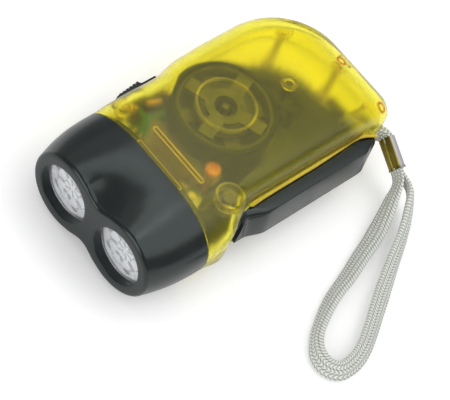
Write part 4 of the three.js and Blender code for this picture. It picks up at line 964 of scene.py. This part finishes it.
def makePlate(opts):
    # toothed plate about the lever's pivot: hub, web and geared band drawn as one outline in radius and angle
    start, slot, web, band = opts["angles"]
    (webInner, webOuter), (root, rim), hub = opts["web"], opts["band"], opts["hub"]
    fine = np.arange(slot, band, opts["toothStep"])
    cut = 0.5 + 0.5 * np.cos((fine - opts["phase"]) * opts["teeth"] / 360 * 2 * np.pi)
    tooth = root + opts["toothDepth"] * smoothstep(*opts["flank"], cut)

    def arc(radius, low, high, count):
        return [(radius, t) for t in np.linspace(low, high, count)]

    path = [(hub, start), *arc(rim, start, band, opts["bandPoints"]), *zip(tooth[::-1], fine[::-1]),
            (root, slot), *arc(webOuter, slot, web, opts["webPoints"]),
            *arc(webInner, web, slot, opts["webPoints"]), *arc(hub, slot, start, opts["hubPoints"])[:-1]]
    r, t = np.array(path).T
    outline = lever["pivot"] + r[:, None] * onCircle(np.radians(t))
    makeSlab("leverPlate", outline, opts, blackSatin, body="lever")


makePlate(plate)

# thumb pad of the lock with its tongue
lock = {
    "low": 9.0, "high": 10.1, "edge": 0.2,
    "plan": ((14.3, 85.2), (14.3, 76.5), (17.0, 76.2), (17.0, 71.6), (21.5, 71.6), (21.5, 79.0),
             (17.0, 79.0), (17.0, 85.2)),
}
makeSlab("lockPad", lock["plan"], lock, blackSatin, body="lock", replaces=["lock_slider"])

spring = {"radius": 2.2, "wire": 0.35, "curls": 3, "pitch": 1.2, "leg": 7.0, "low": 16.65,
          "coilPoints": 120, "legPoints": 12}


def makeSpring(opts):
    # helix about the pivot with a straight leg at each end
    curl = np.linspace(0, opts["curls"], opts["coilPoints"])
    turn = np.pi + curl * 2 * np.pi
    coil = np.column_stack([opts["radius"] * onCircle(turn), opts["low"] + curl * opts["pitch"]])
    leg = np.linspace(0, 1, opts["legPoints"])[1:, None] * (0, opts["leg"], 0)
    line = np.concatenate([coil[0] + leg[::-1], coil, coil[-1] - leg]) + (*lever["pivot"], 0)
    makePiece("returnSpring", [tubeAlong(line, opts["wire"])], steelPlate, "steel",
              replaces=["lever_spring"], angle=60, merge=0.001)


makeSpring(spring)

# Slide switch
slide = {
    "face": -25.75, "plate": 0.75, "from": 30.8, "to": 44.5, "low": 10.3, "high": 16.8, "edge": 0.25,
    "ribs": 6, "ribStep": 1.3, "ribFrom": 31.6, "rise": (0.35, 1.0), "lastGap": 0.35,
    # one rib: share of its height and distance from its start
    "rib": ((0.55, 0.06), (1.0, 0.3), (1.0, 0.85), (0.35, 1.05), (0.35, 1.2)),
}


def makeSlide(opts):
    # side view of the thumb piece: a flat plate with stepped ribs that climb towards the tail
    base = opts["face"] - opts["plate"]
    profile = [(opts["face"], opts["from"]), (base, opts["from"]), (base, opts["ribFrom"])]
    for i in range(opts["ribs"]):
        high = mix(*opts["rise"], i / (opts["ribs"] - 1))
        profile += [(base - high * share, opts["ribFrom"] + i * opts["ribStep"] + at)
                    for share, at in opts["rib"]]
    profile += [(base, profile[-1][1] + opts["lastGap"]), (base, opts["to"]), (opts["face"], opts["to"])]
    makeSlab("switchThumb", profile, opts, blackSatin, body="switch", replaces=["switch_slider"])


makeSlide(slide)
print("lever and switch made")

# Fittings seen through the case
bosses = {  # x, s, underside, top, outer radius, bore
    "bossPivot": (16.5, 31.5, 22.4, 24.9, 4.0, 3.3), "bossGear": (-2.08, 70.28, 24.1, 24.9, 2.4, 1.2),
    "bossSideScrew": (-20.6, 26.6, 19.6, 21.4, 2.5, 1.3),
    "bossTailScrew": (-17.8, 84.6, 19.6, 20.8, 2.4, 1.3),
    "bossMiddleScrew": (-0.8, 91.4, 19.6, 20.6, 2.4, 1.2),
    "ringRib": (-5.8, 49.81, 24.1, 24.9, 8.7, 8.1),
}
stud = {"at": lever["pivot"], "radius": 1.9, "low": 24.1, "high": 24.9, "dome": 0.8, "rows": 8, "columns": 48}
bossEdge = 0.2


def turnedPiece(name, profile, at, count=64):
    makePiece(name, [wrapped(turnedUpright(profile, at, count))], yellowPlastic, "clear_yellow", angle=40,
              merge=0.001)


def makeBosses():
    for name, (x, s, low, high, outer, bore) in bosses.items():
        # ring section with its lower edges broken: down the bore, out, up the outside, back in
        ring = [(bore, high), (bore, low + bossEdge), (bore + bossEdge, low), (outer - bossEdge, low),
                (outer, low + bossEdge), (outer, high), (bore, high)]
        turnedPiece(name, ring, (x, s))
    dome = [(stud["radius"] * math.sin(t), stud["low"] - stud["dome"] * math.cos(t))
            for t in quarterTurn(stud["rows"])]
    dome += [(stud["radius"], stud["high"]), (0, stud["high"])]
    turnedPiece("pivotStud", dome, stud["at"], stud["columns"])


makeBosses()

trayScrew = {
    "at": (6.1, 36.5), "radius": 2.1, "top": 20.0, "dome": 0.5, "low": 18.3, "shank": 1.1, "foot": 9.8,
    "slot": (0.33, 0.55), "slotDepth": 0.7, "slotReach": (1.15, 1.35), "rows": 22, "columns": 96,
}


def makeTrayScrew(opts):
    # domed head with a cross recess, shank below
    def recess(r, turn):
        first, second = np.abs(r * np.cos(turn)), np.abs(r * np.sin(turn))
        arms = [(1 - smoothstep(*opts["slot"], across)) * (1 - smoothstep(*opts["slotReach"], along))
                for along, across in ((first, second), (second, first))]
        return -opts["slotDepth"] * np.maximum(*arms)

    radius, low, shank = opts["radius"], opts["low"], opts["shank"]
    dome = [(r, opts["top"] - opts["dome"] * (r / radius) ** 2)
            for r in np.linspace(0, radius, opts["rows"])]
    below = [(radius, low), (shank, low), (shank, opts["foot"]), (0, opts["foot"])]
    points = np.concatenate([turnedUpright(dome, opts["at"], opts["columns"], recess),
                             turnedUpright(below, opts["at"], opts["columns"])])
    makePiece("trayScrew", [wrapped(points)], brassScrew, "steel", replaces=["tray_screw"], angle=35,
              merge=0.001)


makeTrayScrew(trayScrew)

# bright beads: round a long narrow slot in the tray, round one at the joint with the head, and along the
# lever's slot
rims = {
    "trayRim": {"ends": ((-9.9, 27.8, 24.2), (8.9, 27.9, 24.2)), "half": 0.62, "radius": 0.19},
    "seamTab": {"ends": ((-8.8, 21.15, 24.35), (7.5, 21.15, 24.35)), "half": 0.5, "radius": 0.16},
}
slotLip = {
    "radius": 0.5, "steps": 90, "blunt": 40, "endShare": 0.05,
    "route": ((20.0, 38.6, 18.85), (19.7, 42.3, 18.85), (19.6, 52.0, 18.85), (19.6, 64.0, 18.85),
              (19.3, 73.0, 18.85), (19.1, 78.6, 18.85), (19.3, 81.0, 18.85), (20.0, 83.2, 18.85),
              (20.9, 85.2, 18.6), (21.0, 86.6, 17.6), (20.7, 87.2, 15.5)),
}


def makeRim(name, opts, points=240, bends=10, sides=10):
    # thin closed bead round a long narrow outline: two straight runs and two half circles
    start, end = (np.array(p, float) for p in opts["ends"])
    way = unit(end - start)
    side = np.array((-way[1], way[0], 0)) * opts["half"]
    a = np.linspace(-np.pi / 2, np.pi / 2, bends)[:, None]
    bend = side * np.sin(a) + way * opts["half"] * np.cos(a)
    line = np.concatenate([end + bend, start - bend, end + bend[:1]])
    run = runAlong(line)
    line = pointsAt(line, run, np.linspace(0, run[-1], points + 1)[:-1])
    along = unit(np.roll(line, -1, 0) - np.roll(line, 1, 0))
    up = np.array((0, 0, 1))
    makePiece(name, [tubeRound(line, unit(np.cross(along, up)), up, opts["radius"], sides)], yellowEdge,
              "clear_yellow", angle=60, merge=0.0)


def makeBead(name, opts):
    # round bead along a route; its ends are drawn in
    line, _ = smoothLine(opts["route"], opts["steps"])
    full = 1 - np.linspace(-1, 1, opts["steps"]) ** opts["blunt"]
    size = opts["radius"] * np.sqrt(np.clip(full, opts["endShare"], 1))
    makePiece(name, [tubeAlong(line, size)], yellowEdge, "clear_yellow", angle=60, merge=0.0)


for name, opts in rims.items():
    makeRim(name, opts)
makeBead("slotLip", slotLip)

tailRings = {
    "radius": 1.3, "wire": 0.42, "columns": 48, "sides": 14,
    "places": {  # centre and the way each faces
        "ringPost": ((16.6, 89.6, 23.55), (0.44, 0.46, 1.0)),
        "ringScrew": ((-0.7, 89.85, 23.8), (0.0, 0.43, 1.0)),
    },
}


def makeTailRings(opts):
    # small tori just under the tail's outer face, where ejector pins left their mark
    turn = onCircle(fullTurn(opts["columns"]))
    for name, (centre, facing) in opts["places"].items():
        facing = unit(facing)
        across = unit(np.cross((0, 1, 0), facing))
        out = turn @ [across, np.cross(facing, across)]
        tube = tubeRound(centre + out * opts["radius"], out, facing, opts["wire"], opts["sides"])
        makePiece(name, [tube], amberWall, "clear_yellow", angle=60, merge=0.0)


makeTailRings(tailRings)

# dark sheet in the tail that paints shade there: cut round the gear's rim on one side, slotted for the
# strap's post
tailShelf = {
    "low": 7.8, "high": 8.6, "edge": 0.15, "gear": (-2.08, 70.28), "radius": 18.3, "sweep": (77.8, 8.0),
    "rimPoints": 24,
    "rest": ((17.2, 72.8), (17.2, 86.0), (16.7, 89.0), (15.4, 91.0), (14.5, 91.6), (14.5, 86.6),
             (11.9, 86.6), (11.9, 92.0), (1.8, 92.0)),
}


def makeTailShadeSheet(opts):
    turn = np.radians(np.linspace(*opts["sweep"], opts["rimPoints"]))
    rim = opts["gear"] + opts["radius"] * onCircle(turn)
    # painted shade: a dark sheet under the case's tail
    makeSlab("tailShelf", np.concatenate([rim, opts["rest"]]), opts, innerDark)


makeTailShadeSheet(tailShelf)

lumps = {  # centre, half sizes, turn about z in degrees
    "partDisc": ((-20.6, 30.2, 18.2), (1.7, 0.7, 1.7), 35),
    "partCan": ((-21.4, 42.6, 15.4), (1.4, 2.2, 1.2), 10),
    "partDiode": ((-19.2, 36.8, 18.6), (1.0, 2.2, 0.9), -25),
    "partBlock": ((-13.6, 26.2, 18.0), (1.5, 1.2, 1.0), 15),
}
wires = {
    "wireGreenLong": ((-21.2, 32.0, 15.0), (-20.0, 31.4, 18.0), (-18.0, 31.0, 19.4), (-15.9, 30.2, 19.8),
                      (-14.3, 28.8, 19.6), (-13.3, 26.6, 19.2), (-13.4, 23.8, 17.4)),
    "wireGreenShort": ((-17.4, 34.2, 14.8), (-16.6, 33.0, 17.6), (-15.0, 31.2, 18.4),
                       (-13.4, 29.6, 18.4), (-12.2, 27.2, 18.0), (-12.0, 24.4, 16.2)),
}
wireRadius, wireSteps = 0.7, 50


def makeLump(name, centre, half, degrees, square=0.45, rows=20, columns=32):
    # small electric part: a ball, its cosines and sines raised to a power below one, which squares it
    u, v = np.linspace(-np.pi / 2, np.pi / 2, rows)[:, None], fullTurn(columns)[None]
    wide = signedPower(np.cos(u), square)
    x, y = half[0] * wide * signedPower(np.cos(v), square), half[1] * wide * signedPower(np.sin(v), square)
    z = half[2] * signedPower(np.sin(u), square) * np.ones_like(v)
    c, s = math.cos(math.radians(degrees)), math.sin(math.radians(degrees))
    points = np.stack([centre[0] + x * c - y * s, centre[1] + x * s + y * c, centre[2] + z], -1)
    makePiece(name, [wrapped(points)], ceramicTan, "nylon", angle=50, merge=0.001)


for name, row in lumps.items():
    makeLump(name, *row)
for name, route in wires.items():
    line, _ = smoothLine(route, wireSteps)
    makePiece(name, [tubeAlong(line, wireRadius)], wireGreen, "circuit_green", angle=60, merge=0.001)
print("fittings made")

# Table and light
studio = {
    "table": 3.0, "tableColour": (0.97, 0.97, 0.97), "tableLift": 0.17, "world": 0.59, "mirrored": 0.38,
    "lamps": [  # place in metres, size, power; each aims at the torch
        ((-0.50, 0.30, 0.70), 0.6, 0.3),
        ((0.42, 0.26, 0.75), 0.8, 2.4),
        ((0.05, -0.82, 0.46), 0.7, 3.0),
        ((-0.10, 0.30, 0.75), 0.42, 0.7),
    ],
}
white = (1, 1, 1, 1)


def makeTable(opts):
    # one wide flat table; camera and glass rays see it lifted to white where no shadow falls
    size = opts["table"]
    mesh = bpy.data.meshes.new("table")
    mesh.from_pydata([(-size, -size, 0), (size, -size, 0), (size, size, 0), (-size, size, 0)], [],
                     [(0, 1, 2, 3)])
    table = addObject("table", mesh)
    material, tree, shader = newMaterial("tablePaper", Roughness=0.9, Specular_IOR_Level=0.0,
                                         Base_Color=(*opts["tableColour"], 1), Emission_Color=white)
    path = addNode(tree, "LightPath")
    seen = addMath(tree, "MAXIMUM", path.outputs["Is Camera Ray"], path.outputs["Is Transmission Ray"])
    tree.links.new(addMath(tree, "MULTIPLY", seen, opts["tableLift"]), shader.inputs["Emission Strength"])
    fillMaterial(table, material)


def makeWorld(opts):
    # white to the camera, dimmer in reflections, plain light for the rest
    world = bpy.data.worlds.new("studio")
    bpy.context.scene.world = world
    world.use_nodes = True
    tree = world.node_tree
    path = addNode(tree, "LightPath")
    plain = addRange(tree, path.outputs["Is Glossy Ray"], toMin=opts["world"], toMax=opts["mirrored"])
    level = addRange(tree, path.outputs["Is Camera Ray"], toMin=plain)
    back = tree.nodes["Background"]
    back.inputs["Color"].default_value = white
    tree.links.new(level, back.inputs["Strength"])


def makeLamps(opts):
    for i, (place, width, power) in enumerate(opts["lamps"]):
        data = bpy.data.lights.new("softLamp%d" % i, "AREA")
        data.shape, data.size, data.energy = "SQUARE", width, power
        obj = addObject("softLamp%d" % i, data)
        obj.location = place
        obj.rotation_euler = (-Vector(place)).to_track_quat("-Z", "Y").to_euler()


makeTable(studio)
makeWorld(studio)
makeLamps(studio)
print("studio made")
